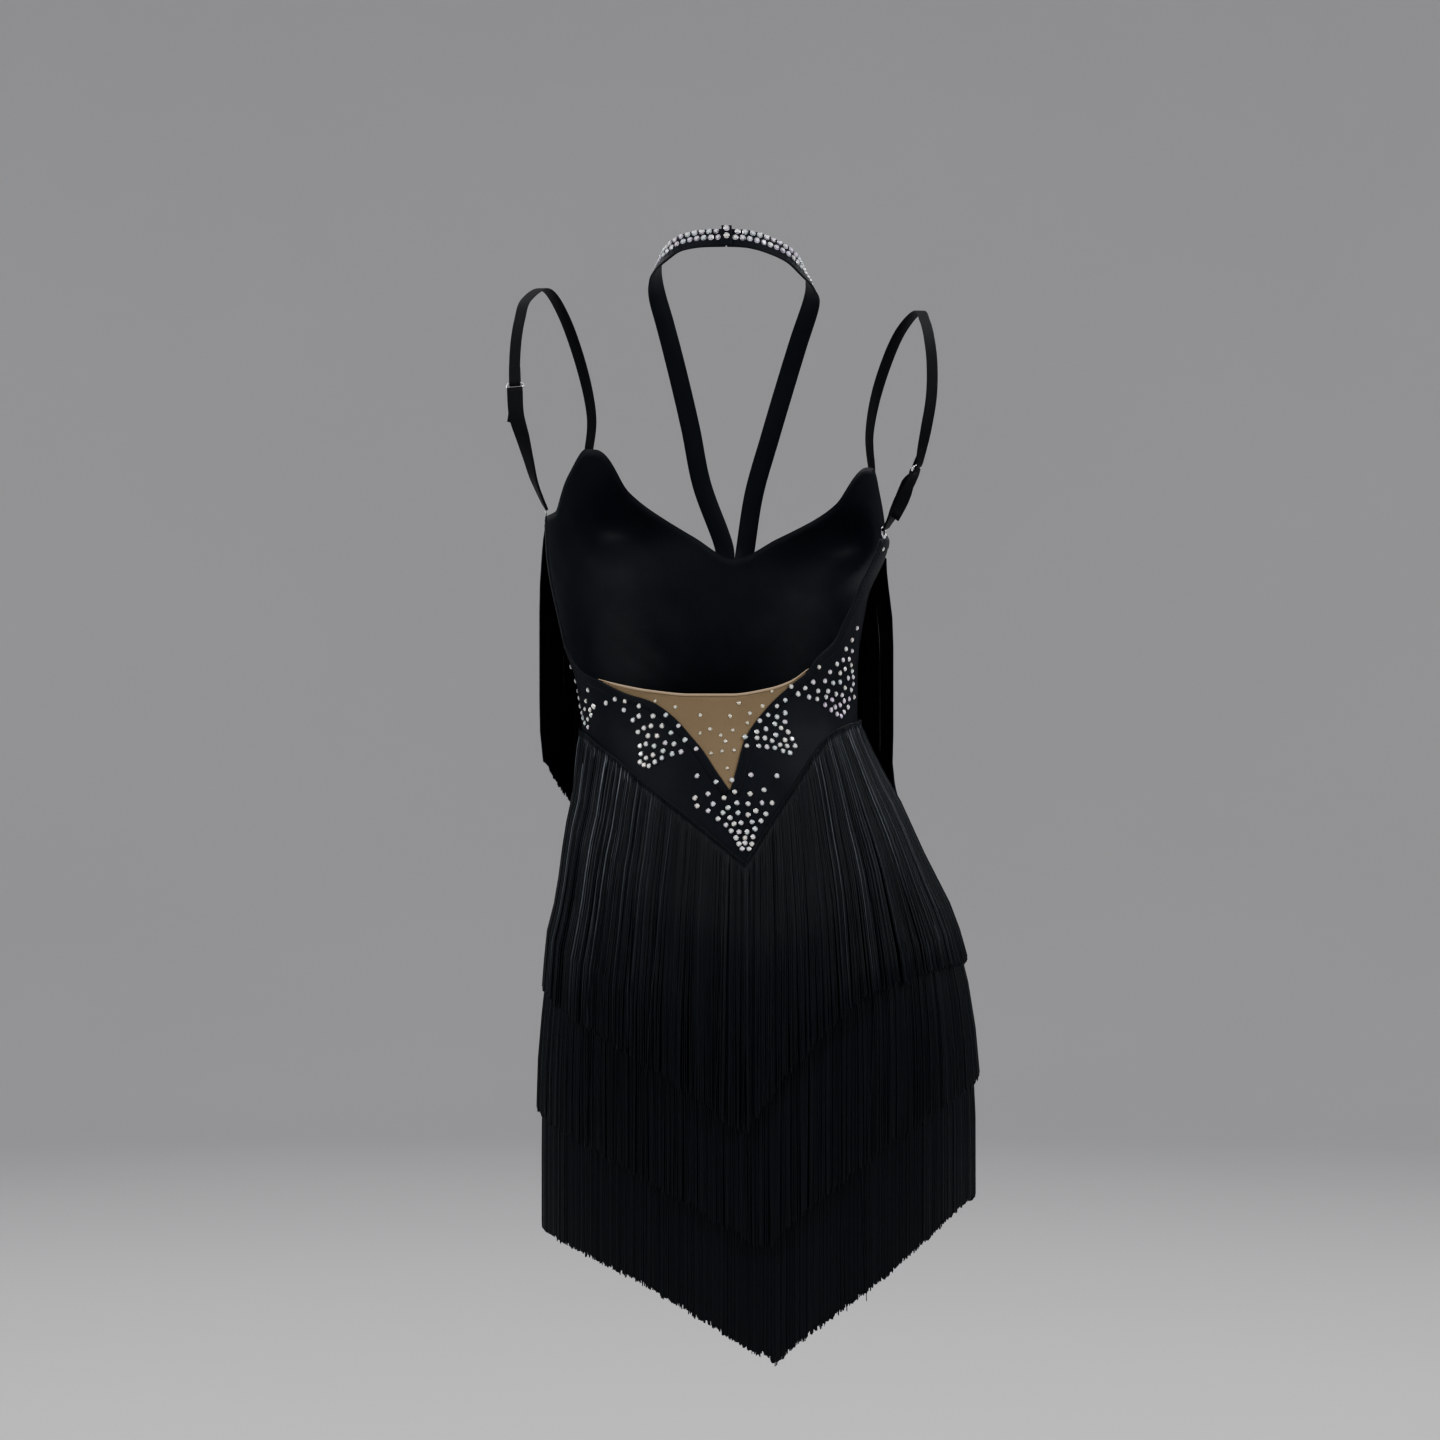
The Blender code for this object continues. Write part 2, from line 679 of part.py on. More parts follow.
def make_strap(side, stops, turn, top_z, slider, loop, ring_turn, ring_top, cloth, metal):
    """Strap over the shoulder, slider, doubled loop and the ring that joins the back's edge."""
    front = [on_bodice(turn, top_z - down, STRAP_SEAT, STRAP_THICK) for down in (14, 1)]
    face = Vector((slider.face_x, slider.face_y, slider.face_z))
    middle = Vector((slider.x, slider.y, slider.z))
    before, after = (Vector((s.x, s.y, s.z)) for s in (stops[-1], loop[0]))
    upright = (before - after).normalized()
    reach = SLIDER_TALL / 2 + WIRE / 2 + SEAM_GAP
    above, below = middle + upright * reach, middle - upright * reach
    route = smooth_route((*front, *stops, Stop(*above, *face)), 3)
    ribbon(f"strap_{side}", route, STRAP_WIDE, STRAP_THICK, cloth)
    loop_spots = rounded_loop(middle, face, upright, SLIDER_WIDE, SLIDER_TALL, 2.0)
    wire_loop(f"slider_{side}", loop_spots, metal)
    across = RING_ACROSS / 2
    ring = skin(ring_turn, ring_top + across + WIRE / 2 + SEAM_GAP, 0.0)
    ring_face = away(ring_turn, ring.z)
    spots = rounded_loop(ring, ring_face, Vector((0, 0, 1)), RING_ACROSS, RING_ACROSS, across - 0.01, 4)
    wire_loop(f"ring_{side}", spots[:3] + spots[4:7] + spots[8:11] + spots[12:15], metal)
    last = Vector((loop[-1].x, loop[-1].y, loop[-1].z))
    end = ring + (last - ring).normalized() * (across + WIRE / 2 + SEAM_GAP + 0.6)
    stops_below = (Stop(*below, *face), *loop, Stop(*end, *ring_face))
    ribbon(f"strap_loop_{side}", smooth_route(stops_below, 3), LOOP_WIDE, LOOP_THICK, cloth)


def make_neckband(cloth, metal):
    for side, stops, way in (("left", NECK_LEFT, 1), ("right", NECK_RIGHT, -1)):
        turn = FRONT_TURN + way * NECK_TURN_OFF
        ends = [on_bodice(turn, z, BAND_SEAT, BAND_THICK) for z in (-184, -202)]
        ribbon(f"neckband_{side}", smooth_route((*stops, *ends), 3), BAND_WIDE, BAND_THICK, cloth)
    first = NECK_LEFT[0]
    face = Vector((0, first.face_y, first.face_z)).normalized()
    middle = Vector((-5, first.y, first.z + CLOSURE_UP)) + face * (BAND_THICK + CLOSURE_THICK + 2 * SEAM_GAP) / 2
    half = Vector((CLOSURE_LONG / 2, 0, 0))
    route = [(middle + half, face), (middle, face), (middle - half, face)]
    ribbon("neck_closure", route, CLOSURE_WIDE, CLOSURE_THICK, cloth)


def main():
    clear_scene()
    cloth = material("black_stretch", BLACK, 0.6)
    strands = material("black_fringe", BLACK, 0.45)
    net = material("nude_net", NUDE, 0.7)
    metal = material("silver_metal", SILVER, 0.25, 1.0)
    make_back(cloth)
    make_front(cloth)
    make_net(net, net)
    make_fringes(strands)
    make_strap("left", STRAP_LEFT, 229.5, -110, SLIDER_LEFT, LOOP_LEFT, RING_TURN_LEFT, -166, cloth, metal)
    make_strap("right", STRAP_RIGHT, 118.5, -126, SLIDER_RIGHT, LOOP_RIGHT, RING_TURN_RIGHT, -184, cloth, metal)
    make_neckband(cloth, metal)


main()
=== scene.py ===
"""The looks of a backless salsa dance dress with tiers of fringe.

Everything is worked out in millimetres round the same figure as the solids, then made in metres.
Angles run round the body from the centre back towards +X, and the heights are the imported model's.
"""

import math
from collections import namedtuple

import bpy
import numpy as np
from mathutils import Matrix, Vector


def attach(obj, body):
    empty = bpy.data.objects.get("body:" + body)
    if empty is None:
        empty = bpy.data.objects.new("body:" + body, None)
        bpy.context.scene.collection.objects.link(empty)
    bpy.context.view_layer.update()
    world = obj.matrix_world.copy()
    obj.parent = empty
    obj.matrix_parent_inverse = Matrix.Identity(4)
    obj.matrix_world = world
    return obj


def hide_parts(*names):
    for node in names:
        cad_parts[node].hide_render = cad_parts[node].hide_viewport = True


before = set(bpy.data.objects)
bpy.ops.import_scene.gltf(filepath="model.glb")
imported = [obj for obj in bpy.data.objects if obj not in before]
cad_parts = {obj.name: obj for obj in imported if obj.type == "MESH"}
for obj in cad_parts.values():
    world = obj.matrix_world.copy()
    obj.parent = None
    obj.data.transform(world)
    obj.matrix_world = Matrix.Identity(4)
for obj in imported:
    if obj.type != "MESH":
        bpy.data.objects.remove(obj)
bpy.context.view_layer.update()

BODY = "root"
MM = 0.001

# The picture's own measures: its side in its own pixels, the pixel of the origin, and mm to a pixel
PICTURE = 1440
ORIGIN_PX = (733.0, 300.0)
MM_TO_PX = 0.763
EYE_AWAY = 2800.0
EYE_X = (PICTURE / 2 - ORIGIN_PX[0]) * MM_TO_PX
EYE_Z = (ORIGIN_PX[1] - PICTURE / 2) * MM_TO_PX
SENSOR = 36.0

# Cloth and trim, mm
CLOTH = 1.0
SEAT = 0.9
EDGE_WIDE, EDGE_PROUD = 6.6, 0.42
# A turned edge's section: how far in from the edge, and how far off the cloth
EDGE_SECTION = (
    (-0.15, -0.95), (-0.42, -0.5), (-0.42, 0.0), (0.1, 0.8 * EDGE_PROUD), (0.9, EDGE_PROUD),
    (EDGE_WIDE * 0.5, EDGE_PROUD * 1.1), (EDGE_WIDE - 0.6, EDGE_PROUD),
    (EDGE_WIDE, 0.5 * EDGE_PROUD), (EDGE_WIDE + 0.25, -0.25),
)
STITCH_IN, STITCH_LIFT = EDGE_WIDE - 1.4, EDGE_PROUD + 0.02
STITCH_PITCH, STITCH_LONG, STITCH_RADIUS = 3.0, 1.9, 0.2
# The ripple of the stretched cloth: its waves, how far they lean, their lengths, and its depth
RIPPLES, RIPPLE_LEAN, RIPPLE_SHORT, RIPPLE_LONG, RIPPLE_DEEP = 9, 1.2, 18, 60, 0.22
# Mm to a degree in the uv of the jersey and of the net
JERSEY_UV, NET_UV = 1.95, 1.5
NET_DEEP, NET_THICK, NET_TUCK = 1.05, 0.4, 2.6
# The angles between which the net fills the opening
NET_FROM, NET_TO = -52, 37.5
# The binding over the net: its place, half its section, and how it grows from its thin ends
BINDING_TALL, BINDING_LOW, BINDING_DEEP = 3.2, 0.9, 0.95
BINDING_HALF, BINDING_THIN = 0.95, 0.52
BINDING_END, BINDING_GROWS = 0.4, 14
STRAP_SEAT, BAND_SEAT = 1.1, 0.7
SEAM_GAP = 0.35

# Fringe, mm
STRIP_TALL = 8.0
TIER_PITCH = 3.7
HANG_OFF, HANG_OFF_BY = 1.1, 14.0
RAMP_LEAD, RAMP_LONG, RAMP_AHEAD = 50.0, 42.0, 8.0
FALL_STEP = 5.0
STRAND_RADIUS = 0.52
# How far the strands' middles lie off the cloth's clearance, at their roots and further down
ROOT_DEEP, STRAND_DEEP = 0.62, 0.95
# How unevenly roots are spaced, in shares of their pitch, and how far below the seam they start
ROOT_SHIFT, ROOT_DOWN = 0.4, (0.6, 2.0)
# How strands are cut, the chance that one starts a new lock, and how far strays lie
CUT_SHORT, CUT_UNEVEN = 1.5, (-2.3, 1.6)
LOCK_STARTS, STRAY_REACH = 0.24, 5.0
# How far the upper tier's hem lies in against the next one at the left
HEM_TUCK = 2.2
HEADER_TALL, HEADER_PROUD = 4.2, 0.35
# The tape's section, down from the seam and outward in shares of how proud it is
HEADER_SECTION = ((0, -0.2), (-0.3, 0.7), (-1, 1), (-HEADER_TALL + 0.4, 1), (-HEADER_TALL, 0.2))
LOOP_PITCH, LOOP_RADIUS, LOOP_LIFT, LOOP_OVER = 1.7, 0.3, 0.95, 0.2
# Where the tapes stand on the strands' scale of painted highlight, from 0 to 1
HEADER_PAINTED_HIGHLIGHT = 0.72
# How each fringe is made: strands, rings to a strand, how far neighbours draw together and drift,
# how uneven the locks lie, the share of strays, whether the hem is trimmed, how much painted
# highlight its strands lose (on the top tier only away from the hips), and the seed of its random
# draws
Make = namedtuple("Make", "strands rings clump drift uneven stray trimmed hidden seed")
TIER_MAKES = (
    Make(1900, 13, 0.65, 1.0, 0.42, 0.03, False, 0.2, 0),
    Make(2350, 10, 0.4, 0.7, 0.25, 0.012, False, 0.5, 1),
    Make(3200, 8, 0.0, 0.25, 0.12, 0.004, True, 0.5, 2),
)
BUST_MAKE = Make(1200, 12, 0.2, 0.5, 0.2, 0.008, False, 0.28, 7)
# How far the bust fringe stands off at each side, and how much of that is left at its hem
Billow = namedtuple("Billow", "most left")
BILLOW_RIGHT, BILLOW_LEFT = Billow(5.4, -0.3), Billow(2.8, 0.0)
# Where that leaves off, in mm down the strands
BILLOW_STAYS, BILLOW_GOES = 150, 184

# Straps, hardware and neckband, mm
STRAP_WIDE, STRAP_THICK = 8.5, 1.3
# The doubled loop: its width, one layer's thickness, and how much of its width its ring takes
LOOP_WIDE, LOOP_THIN, LOOP_GATHER = 12.0, 2.4 * 0.42, 0.42
# Where the loop folds over the adjuster's lower bar, as angles from its face
LOOP_FOLD = (1.57, 0.8)
# How far the elastics keep off a wire, and the loop's two layers off each other
WIRE_GAP, LAYER_GAP = 0.1, 0.12
# How far the elastic goes back up behind itself from the adjuster's upper bar
STRAP_BACK_UP = 13
# How far below the bodice's edge each strap's end is sewn on
STRAP_SEWN = (14, 1)
WIRE = 1.5
SLIDER_WIDE, SLIDER_TALL, SLIDER_CORNER = 12.4, 4.4, 2.0
RING_ACROSS = 8.5
BAND_WIDE, BAND_THICK, BAND_EDGE = 15.0, 1.6, 0.5

# The cloth's outer face by height: z, middle, half width, depth to the back, depth to the front
FIGURE = (
    (-100, -9.0, 128.0, 95, 84), (-150, -12.0, 131.0, 92, 92), (-183, -12.0, 131.0, 88, 97),
    (-229, -17.0, 120.0, 78, 93), (-259, -16.5, 114.0, 72, 88), (-298, -11.5, 107.0, 69, 84),
    (-320, -10.2, 105.8, 72, 85), (-347, -6.0, 110.0, 80, 88), (-373, -0.5, 117.0, 88, 92),
    (-408, 5.3, 126.5, 99, 96), (-439, 10.5, 135.5, 108, 99), (-487, 16.0, 147.5, 118, 101),
    (-534, 18.5, 155.5, 122, 101), (-580, 19.3, 160.3, 122, 100), (-616, 19.5, 161.5, 121, 100),
    (-820, 19.7, 161.7, 120, 100),
)
SQUARENESS = 2.2
Cup = namedtuple("Cup", "turn z rise turn_spread up_spread down_spread")
CUPS = (Cup(138, -186, 21.0, 17.0, 34.0, 24.0), Cup(210, -170, 21.0, 17.0, 34.0, 24.0))

# The back's top edge: angle, height, and the angle where that line of the cloth meets the hem
TOP_LEFT = ((-90, -166, -90), (-81, -166, -84))
OPENING_LEFT = (
    (-81, -166, -84), (-79, -184, -80), (-78, -214, -76), (-76.5, -245, -72), (-76.5, -262, -69),
    (-75, -275, -66), (-66, -284.5, -60), (-52, -292, -50), (-39, -301, -40), (-27.7, -307, -30),
    (-18.7, -318.5, -21), (-12.3, -333, -14), (-8.3, -344, -9), (-5, -357.5, -4), (-1, -373.5, 4),
)
OPENING_RIGHT = (
    (-1, -373.5, 4), (4.1, -354, 10), (8.9, -335.5, 15), (16, -319, 21), (23, -305.5, 27),
    (30.4, -294.5, 33), (38.8, -283.5, 40), (42.3, -275.5, 45), (53, -260.5, 53), (57.6, -245.5, 59),
    (62.7, -230, 65), (64, -215, 70), (65, -200, 74), (67, -184, 78),
)
TOP_RIGHT = ((67, -184, 78), (74, -184, 82), (82, -183.5, 86), (90, -183, 90))
NET_TOP = (
    (-53.5, -291.0), (-39, -296.6), (-27.5, -300.0), (-11, -302.8), (5, -302.8), (21, -298.4),
    (29.5, -293.3), (38.6, -283.2),
)
NECKLINE = (
    (90, -183), (100, -178), (109, -150), (116, -126), (121, -125), (140, -152), (160, -178),
    (174, -194), (188, -176), (208, -142), (227, -110), (232, -110), (240, -130), (250, -160),
    (270, -166),
)
FRONT_TURN = 174.0

# Fringe: each tier's height at its left side, back point, front point and right side, and its length
Tier = namedtuple("Tier", "left back front right turn length")
TIERS = (
    Tier(-326, -425, -420, -319, 0, 200),
    Tier(-417, -508, -505, -400, 2, 200),
    Tier(-507, -591, -588, -483, 4, 200),
)
V_POWER_LEFT, V_POWER_RIGHT = 0.96, 0.85
# How the highest V rises, by angle from its point
SEAM_LEFT = (
    (0, 0), (13, 0.27), (27, 0.505), (35, 0.625), (44, 0.75), (56, 0.865), (70, 0.955), (90, 1),
)
SEAM_RIGHT = (
    (0, 0), (13, 0.325), (19, 0.455), (28, 0.625), (36, 0.755), (43, 0.85), (52, 0.92), (66, 0.965),
    (90, 1),
)
HEM_BELOW = 15.0
# How much shorter the lowest tier is cut, by angle, so that its hem runs straight
HEM_TRIM = (
    (-180, 0), (-100, 0), (-80, 2), (-55, 5), (-35, 7), (-15, 4), (0, 0), (25, 0), (50, 5), (65, 8),
    (80, 3), (100, 0), (180, 0),
)
BUST_ENDS = (97.0, 263.0)
BUST_LEFT, BUST_RIGHT = -170, -187
BUST_LENGTH = 182
BUST_DROPS = ((0, 128), (15, 114), (30, 95), (45, 72), (56, 50), (61, 35), (69, 19), (84, 0))

# Routes of the straps and neckband: x, y, z, and the way the band faces there
STRAP_LEFT = (
    (-110, 60, -84, -0.50, 0.85, 0.15), (-117, 54, -48, -0.28, 0.87, 0.40),
    (-130, 33, -10, -0.10, 0.60, 0.80), (-143, 0, 8, 0.00, 0.00, 1.00),
    (-156, -34, -4, -0.10, -0.60, 0.80), (-160, -52, -21, -0.12, -0.85, 0.50),
    (-162, -65, -39, -0.15, -0.95, 0.25), (-162.6, -73, -57, -0.15, -0.98, 0.12),
)
STRAP_RIGHT = (
    (106, 46, -98, 0.68, 0.72, 0.10), (113, 45, -62, 0.32, 0.86, 0.40),
    (127, 31, -25, 0.10, 0.60, 0.80), (141, 0, -9, 0.00, 0.00, 1.00),
    (145, -30, -20, 0.10, -0.60, 0.80), (147, -52, -36, 0.12, -0.85, 0.50),
    (148, -67, -56, 0.15, -0.95, 0.25), (147, -76, -80, 0.15, -0.98, 0.10),
    (143, -79, -104, 0.20, -0.97, 0.00), (139.5, -75, -122, 0.58, -0.81, -0.05),
)
SLIDER_LEFT = (-162, -77, -73, -0.15, -0.98, 0.08)
SLIDER_RIGHT = (136, -70, -133, 0.86, -0.50, -0.10)
LOOP_LEFT = (
    (-161, -80, -94, -0.30, -0.95, 0.00), (-156.5, -78, -111, -0.45, -0.85, -0.28),
    (-152.5, -68, -128, -0.60, -0.55, -0.55), (-149, -53, -143, -0.72, -0.38, -0.57),
)
LOOP_RIGHT = (
    (131, -65, -143, 0.50, -0.85, -0.20), (126, -58, -155, 0.48, -0.82, -0.32),
    (120.5, -51, -167, 0.56, -0.74, -0.38),
)
# Each strap: its route, the angle and height where it is sewn on in front, its adjuster and loop,
# its ring's angle and the back's top edge there, the way the loop faces as it goes through the ring,
# how far its free end hangs, and where the loop starts to draw in towards its ring: -1 would be one
# whole length before its start
Strap = namedtuple("Strap", "stops turn top slider loop ring_turn ring_top ring_entry tail gather")
STRAPS = {
    "left": Strap(
        STRAP_LEFT, 229.5, -110, SLIDER_LEFT, LOOP_LEFT, -84.0, -166,
        (-0.85, -0.18, -0.48), (-2.5, 2.0, -24.0), -0.4,
    ),
    "right": Strap(
        STRAP_RIGHT, 118.5, -126, SLIDER_RIGHT, LOOP_RIGHT, 71.5, -184,
        (0.62, -0.66, -0.42), (-13.0, 10.5, -36.0), -1.6,
    ),
}
NECK_LEFT = (
    (-5.6, -60, 39.6, -0.02, -0.95, 0.30), (-25, -55.5, 39.2, -0.26, -0.88, 0.38),
    (-40, -50, 36.4, -0.44, -0.78, 0.45), (-50, -41, 30.2, -0.54, -0.72, 0.46),
    (-56.8, -26, 23.8, -0.66, -0.54, 0.56), (-59.3, -4, 16, -0.70, -0.14, 0.70),
    (-58, 17, 4.5, -0.58, 0.32, 0.75), (-52, 38, -16, -0.44, 0.62, 0.65),
    (-43, 58, -50, -0.28, 0.85, 0.44), (-33, 76, -92, -0.15, 0.94, 0.30),
    (-24, 90, -136, -0.08, 0.98, 0.18),
)
NECK_RIGHT = (
    (-4.4, -60, 39.6, 0.02, -0.95, 0.30), (12, -58.5, 38.5, 0.16, -0.92, 0.35),
    (28, -54, 34.2, 0.34, -0.84, 0.40), (42, -47, 27.8, 0.46, -0.78, 0.44),
    (52, -35, 18.2, 0.58, -0.64, 0.52), (59, -15, 9.5, 0.68, -0.38, 0.64),
    (60, 8, -1, 0.62, 0.16, 0.76), (51, 38, -28, 0.42, 0.64, 0.64), (41, 58, -60, 0.26, 0.86, 0.44),
    (29, 76, -100, 0.14, 0.94, 0.30), (17, 90, -142, 0.07, 0.98, 0.18),
)
# How far off the bodice's middle the bands end, in degrees, and their last heights on it
NECK_TURN_OFF, NECK_ENDS = 3.7, (-184, -202)
CLOSURE_WIDE, CLOSURE_THICK, CLOSURE_UP = 16.6, 1.4, 1.0
CLOSURE_X, CLOSURE_REACH = -5.0, 3.9

# Where the stones sit, in the picture's own pixels
YOKE_STONES = (
    # Round the point of the V
    (697, 776), (716, 782), (751, 775), (777, 776), (764, 790), (708, 794), (735, 792), (750, 794),
    (695, 798), (724, 798), (737, 803), (748, 804), (762, 803), (772, 803), (713, 804), (697, 806),
    (728, 808), (708, 811), (723, 813), (738, 813), (756, 811), (766, 814), (748, 815), (718, 819),
    (730, 818), (741, 823), (752, 822), (761, 821), (726, 825), (734, 824), (755, 829), (731, 831),
    (739, 832), (747, 832), (753, 837), (736, 838), (745, 843), (739, 844), (752, 844), (742, 849),
    (749, 849), (745, 838), (732, 780),
    # Along the left lobe
    (606, 703), (615, 699), (625, 701), (624, 710), (639, 706), (639, 716), (633, 720), (653, 716),
    (651, 726), (644, 728), (638, 732), (662, 726), (671, 733), (657, 736), (665, 743), (674, 744),
    (685, 740), (696, 749), (663, 751), (672, 754), (681, 752), (654, 746), (653, 755), (662, 758),
    (655, 762), (646, 758), (641, 754), (640, 762), (644, 765), (649, 766), (646, 744), (648, 736),
    (640, 746), (666, 715), (593, 706), (678.5, 726),
    # Right of the point
    (791, 686.5), (785, 700), (777, 706), (785, 713), (768, 715), (777, 717), (785, 722), (760, 721),
    (775, 724), (781, 728), (766, 729), (757, 732), (788, 732), (776, 735), (745, 737), (757, 738),
    (765, 738), (772, 741), (785, 740), (747, 746), (759, 746), (767, 747), (780, 745), (775, 748),
    (787, 746), (783, 751), (790, 753), (792, 739), (795, 746),
    # Up the right lobe
    (857, 628), (852, 640), (846, 649), (852, 651), (849, 659), (843, 660), (837, 664), (851, 665),
    (845, 669), (830, 672), (840, 673), (852, 671), (848, 678), (853, 677), (819, 667), (840, 682),
    (833, 683), (825, 681), (813, 682), (853, 684), (851, 690), (845, 688), (805, 688), (818, 691),
    (828, 691), (798, 694), (836, 694), (854, 697), (809, 697), (826, 697), (817, 699), (883, 549),
    # Far round the left side
    (566, 667), (571, 681), (577, 691), (588, 690), (579, 698), (586, 701), (594, 707), (580, 706),
    (585, 709), (590, 710), (582, 713), (591, 715), (588, 719), (583, 718), (585, 723), (588, 727),
)
# The right lobe's lowest stones, whose coating shines violet
VIOLET_STONES = (
    (842, 695), (849, 699), (832, 700), (844, 701), (825, 705), (840, 705), (848, 707), (835, 707),
    (831, 710), (844, 712), (837, 714), (841, 716),
)
NET_STONES = (
    (655, 701), (675, 707), (700, 715), (730, 716), (739, 703), (750, 713), (748, 723), (772, 691),
    (763, 706), (710, 729), (700, 733), (721, 735), (733, 730), (725, 741), (711, 753), (722, 751),
    (727, 768), (734, 750),
)
STONE_RADIUS, NET_STONE_RADIUS = 1.9, 1.5
# The neckband's rows of stones: how far above its middle, and where each begins
BAND_ROWS = ((5.3, 7.6), (0.2, 5.9))
BAND_STONE_RADIUS, BAND_STONE_PITCH, BAND_STONES_STOP = 2.3, 5.4, 3
CLOSURE_STONE_RADIUS, CLOSURE_STONES = 2.4, (5.6, -0.4)
# A stone's facets round, and its girdle, rim and table: radius and height in shares of its radius
STONE_SIDES, STONE_LEVELS = 8, ((0.96, 0.0), (1.0, 0.17), (0.5, 0.46))
# How strongly the stones glow, though they are no lamps: painted light standing in for the foil's
# sparkle
STONE_PAINTED_GLOW = 0.8
RAINBOW = (
    (1.0, 1.0, 1.0), (1.0, 1.0, 1.0), (0.98, 0.98, 1.0), (0.92, 0.78, 0.96), (0.76, 0.88, 1.0),
    (0.80, 1.0, 0.92), (1.0, 0.92, 0.78),
)
GOLDEN = ((0.80, 0.72, 0.54), (0.72, 0.60, 0.38), (0.92, 0.86, 0.72), (0.60, 0.50, 0.32))
VIOLET = (
    (0.98, 0.88, 1.0), (0.94, 0.72, 0.98), (0.84, 0.62, 0.96), (1.0, 0.90, 0.98), (0.90, 0.80, 1.0),
)
LILAC = (
    (1.0, 1.0, 1.0), (0.97, 0.95, 1.0), (0.80, 0.66, 0.98), (0.94, 0.78, 0.96), (0.80, 0.90, 1.0),
    (0.88, 1.0, 0.96),
)

# The studio, metres: a floor that bends up into a wall, and lamps by name, place, size and watts
FLOOR_Z, FLOOR_RING, WALL_AT, WALL_BEND, WALL_TOP = -1.02, 1.6, 4.6, 1.2, 3.6
STUDIO_SIDES, BEND_STEPS = 72, 12
LAMPS = (
    ("back_left", (-1.8, -1.2, 1.0), 0.8, 30),
    ("back_right", (1.9, -1.1, 1.1), 0.8, 36),
    ("front_left", (-1.3, 1.6, 1.4), 0.9, 22),
    ("front_right", (1.4, 1.5, 1.4), 0.9, 22),
    ("overhead", (0, 0, 3.0), 3.0, 56),
)
LAMPS_AIM = (0, 0, -0.4)
AIR_COLOUR, AIR_STRENGTH = (0.93, 0.95, 1.0, 1), 0.09


# ---- the figure


def smooth_through(xs, ys):
    """A smooth function of an array through the points that never swings past them."""
    xs, ys = np.asarray(xs, float), np.asarray(ys, float)
    steps = np.diff(xs)
    rises = np.diff(ys) / steps
    total = rises[:-1] + rises[1:]
    same_way = rises[:-1] * rises[1:] > 0
    between = np.where(same_way, 2 * rises[:-1] * rises[1:] / np.where(same_way, total, 1), 0)
    slopes = np.concatenate([rises[:1], between, rises[-1:]])

    def value(x):
        x = np.clip(x, xs[0], xs[-1])
        i = np.clip(np.searchsorted(xs, x, side="right") - 1, 0, len(steps) - 1)
        t = (x - xs[i]) / steps[i]
        rest = 1 - t
        ends = ys[i] * (1 + 2 * t) * rest**2 + ys[i + 1] * (1 + 2 * rest) * t**2
        return ends + steps[i] * t * rest * (slopes[i] * rest - slopes[i + 1] * t)

    return value


LEVELS = np.array(FIGURE, float)
MIDDLE, HALF, BACK, FRONT = (smooth_through(-LEVELS[:, 0], LEVELS[:, k]) for k in range(1, 5))


def ease(x):
    x = np.clip(x, 0.0, 1.0)
    return x * x * (3 - 2 * x)


def unit(v):
    return v / np.linalg.norm(v, axis=-1, keepdims=True)


def distances(points):
    """How far along a path each of its points is."""
    return np.concatenate([[0], np.cumsum(np.linalg.norm(np.diff(points, axis=0), axis=1))])


def read_off(wanted, gone, values):
    """Points or directions at the wanted distances along a path."""
    return np.stack([np.interp(wanted, gone, values[:, k]) for k in range(3)], -1)


def outer_face(turn, z):
    """Points of the cloth's outer face at these angles and heights."""
    turn, z = np.broadcast_arrays(np.asarray(turn, float), np.asarray(z, float))
    s, c = np.sin(np.radians(turn)), np.cos(np.radians(turn))
    size = (np.abs(s) ** SQUARENESS + np.abs(c) ** SQUARENESS) ** (-1 / SQUARENESS)
    depth = np.where(c > 0, BACK(-z), FRONT(-z))
    flat = np.stack([HALF(-z) * size * s, -depth * size * c], -1)
    rise = 0.0
    for cup in CUPS:
        across = (turn % 360 - cup.turn) / cup.turn_spread
        spread = np.where(z > cup.z, cup.up_spread, cup.down_spread)
        rise = rise + cup.rise * np.exp(-(across**2) - ((z - cup.z) / spread) ** 2)
    flat = flat + unit(flat) * rise[..., None]
    return np.concatenate([flat + np.stack([MIDDLE(-z), 0 * z], -1), z[..., None]], -1)


def away(turn, z):
    """The outward direction of the cloth there."""
    turn, z = np.broadcast_arrays(np.asarray(turn, float), np.asarray(z, float))
    around = outer_face(turn + 0.5, z) - outer_face(turn - 0.5, z)
    down = outer_face(turn, z - 2) - outer_face(turn, z + 2)
    return unit(np.cross(down, around))


def skin(turn, z, lift=0.0):
    return outer_face(turn, z) + away(turn, z) * np.asarray(lift, float)[..., None]


def turn_of(point):
    x, y, z = point[..., 0], point[..., 1], point[..., 2]
    depth = np.where(y < 0, BACK(-z), FRONT(-z))
    return np.degrees(np.arctan2((x - MIDDLE(-z)) / HALF(-z), -y / depth))


def level_out(turn, z):
    out = away(turn, z)
    out[..., 2] = 0
    return unit(out)


def on_back(px, py):
    """The angle and height on the back of the figure that show at this pixel of the picture."""
    y = -80.0
    for _ in range(6):
        reach = MM_TO_PX * (EYE_AWAY + y) / EYE_AWAY
        x = EYE_X + (px - PICTURE / 2) * reach
        z = EYE_Z - (py - PICTURE / 2) * reach
        across = np.clip((x - MIDDLE(-z)) / HALF(-z), -0.999, 0.999)
        deep = (1 - abs(across) ** SQUARENESS) ** (1 / SQUARENESS)
        y = -float(BACK(-z)) * deep
    return math.degrees(math.atan2(across, deep)), float(z)


# ---- making meshes


def add_object(name, data):
    obj = bpy.data.objects.new(name, data)
    bpy.context.scene.collection.objects.link(obj)
    return obj


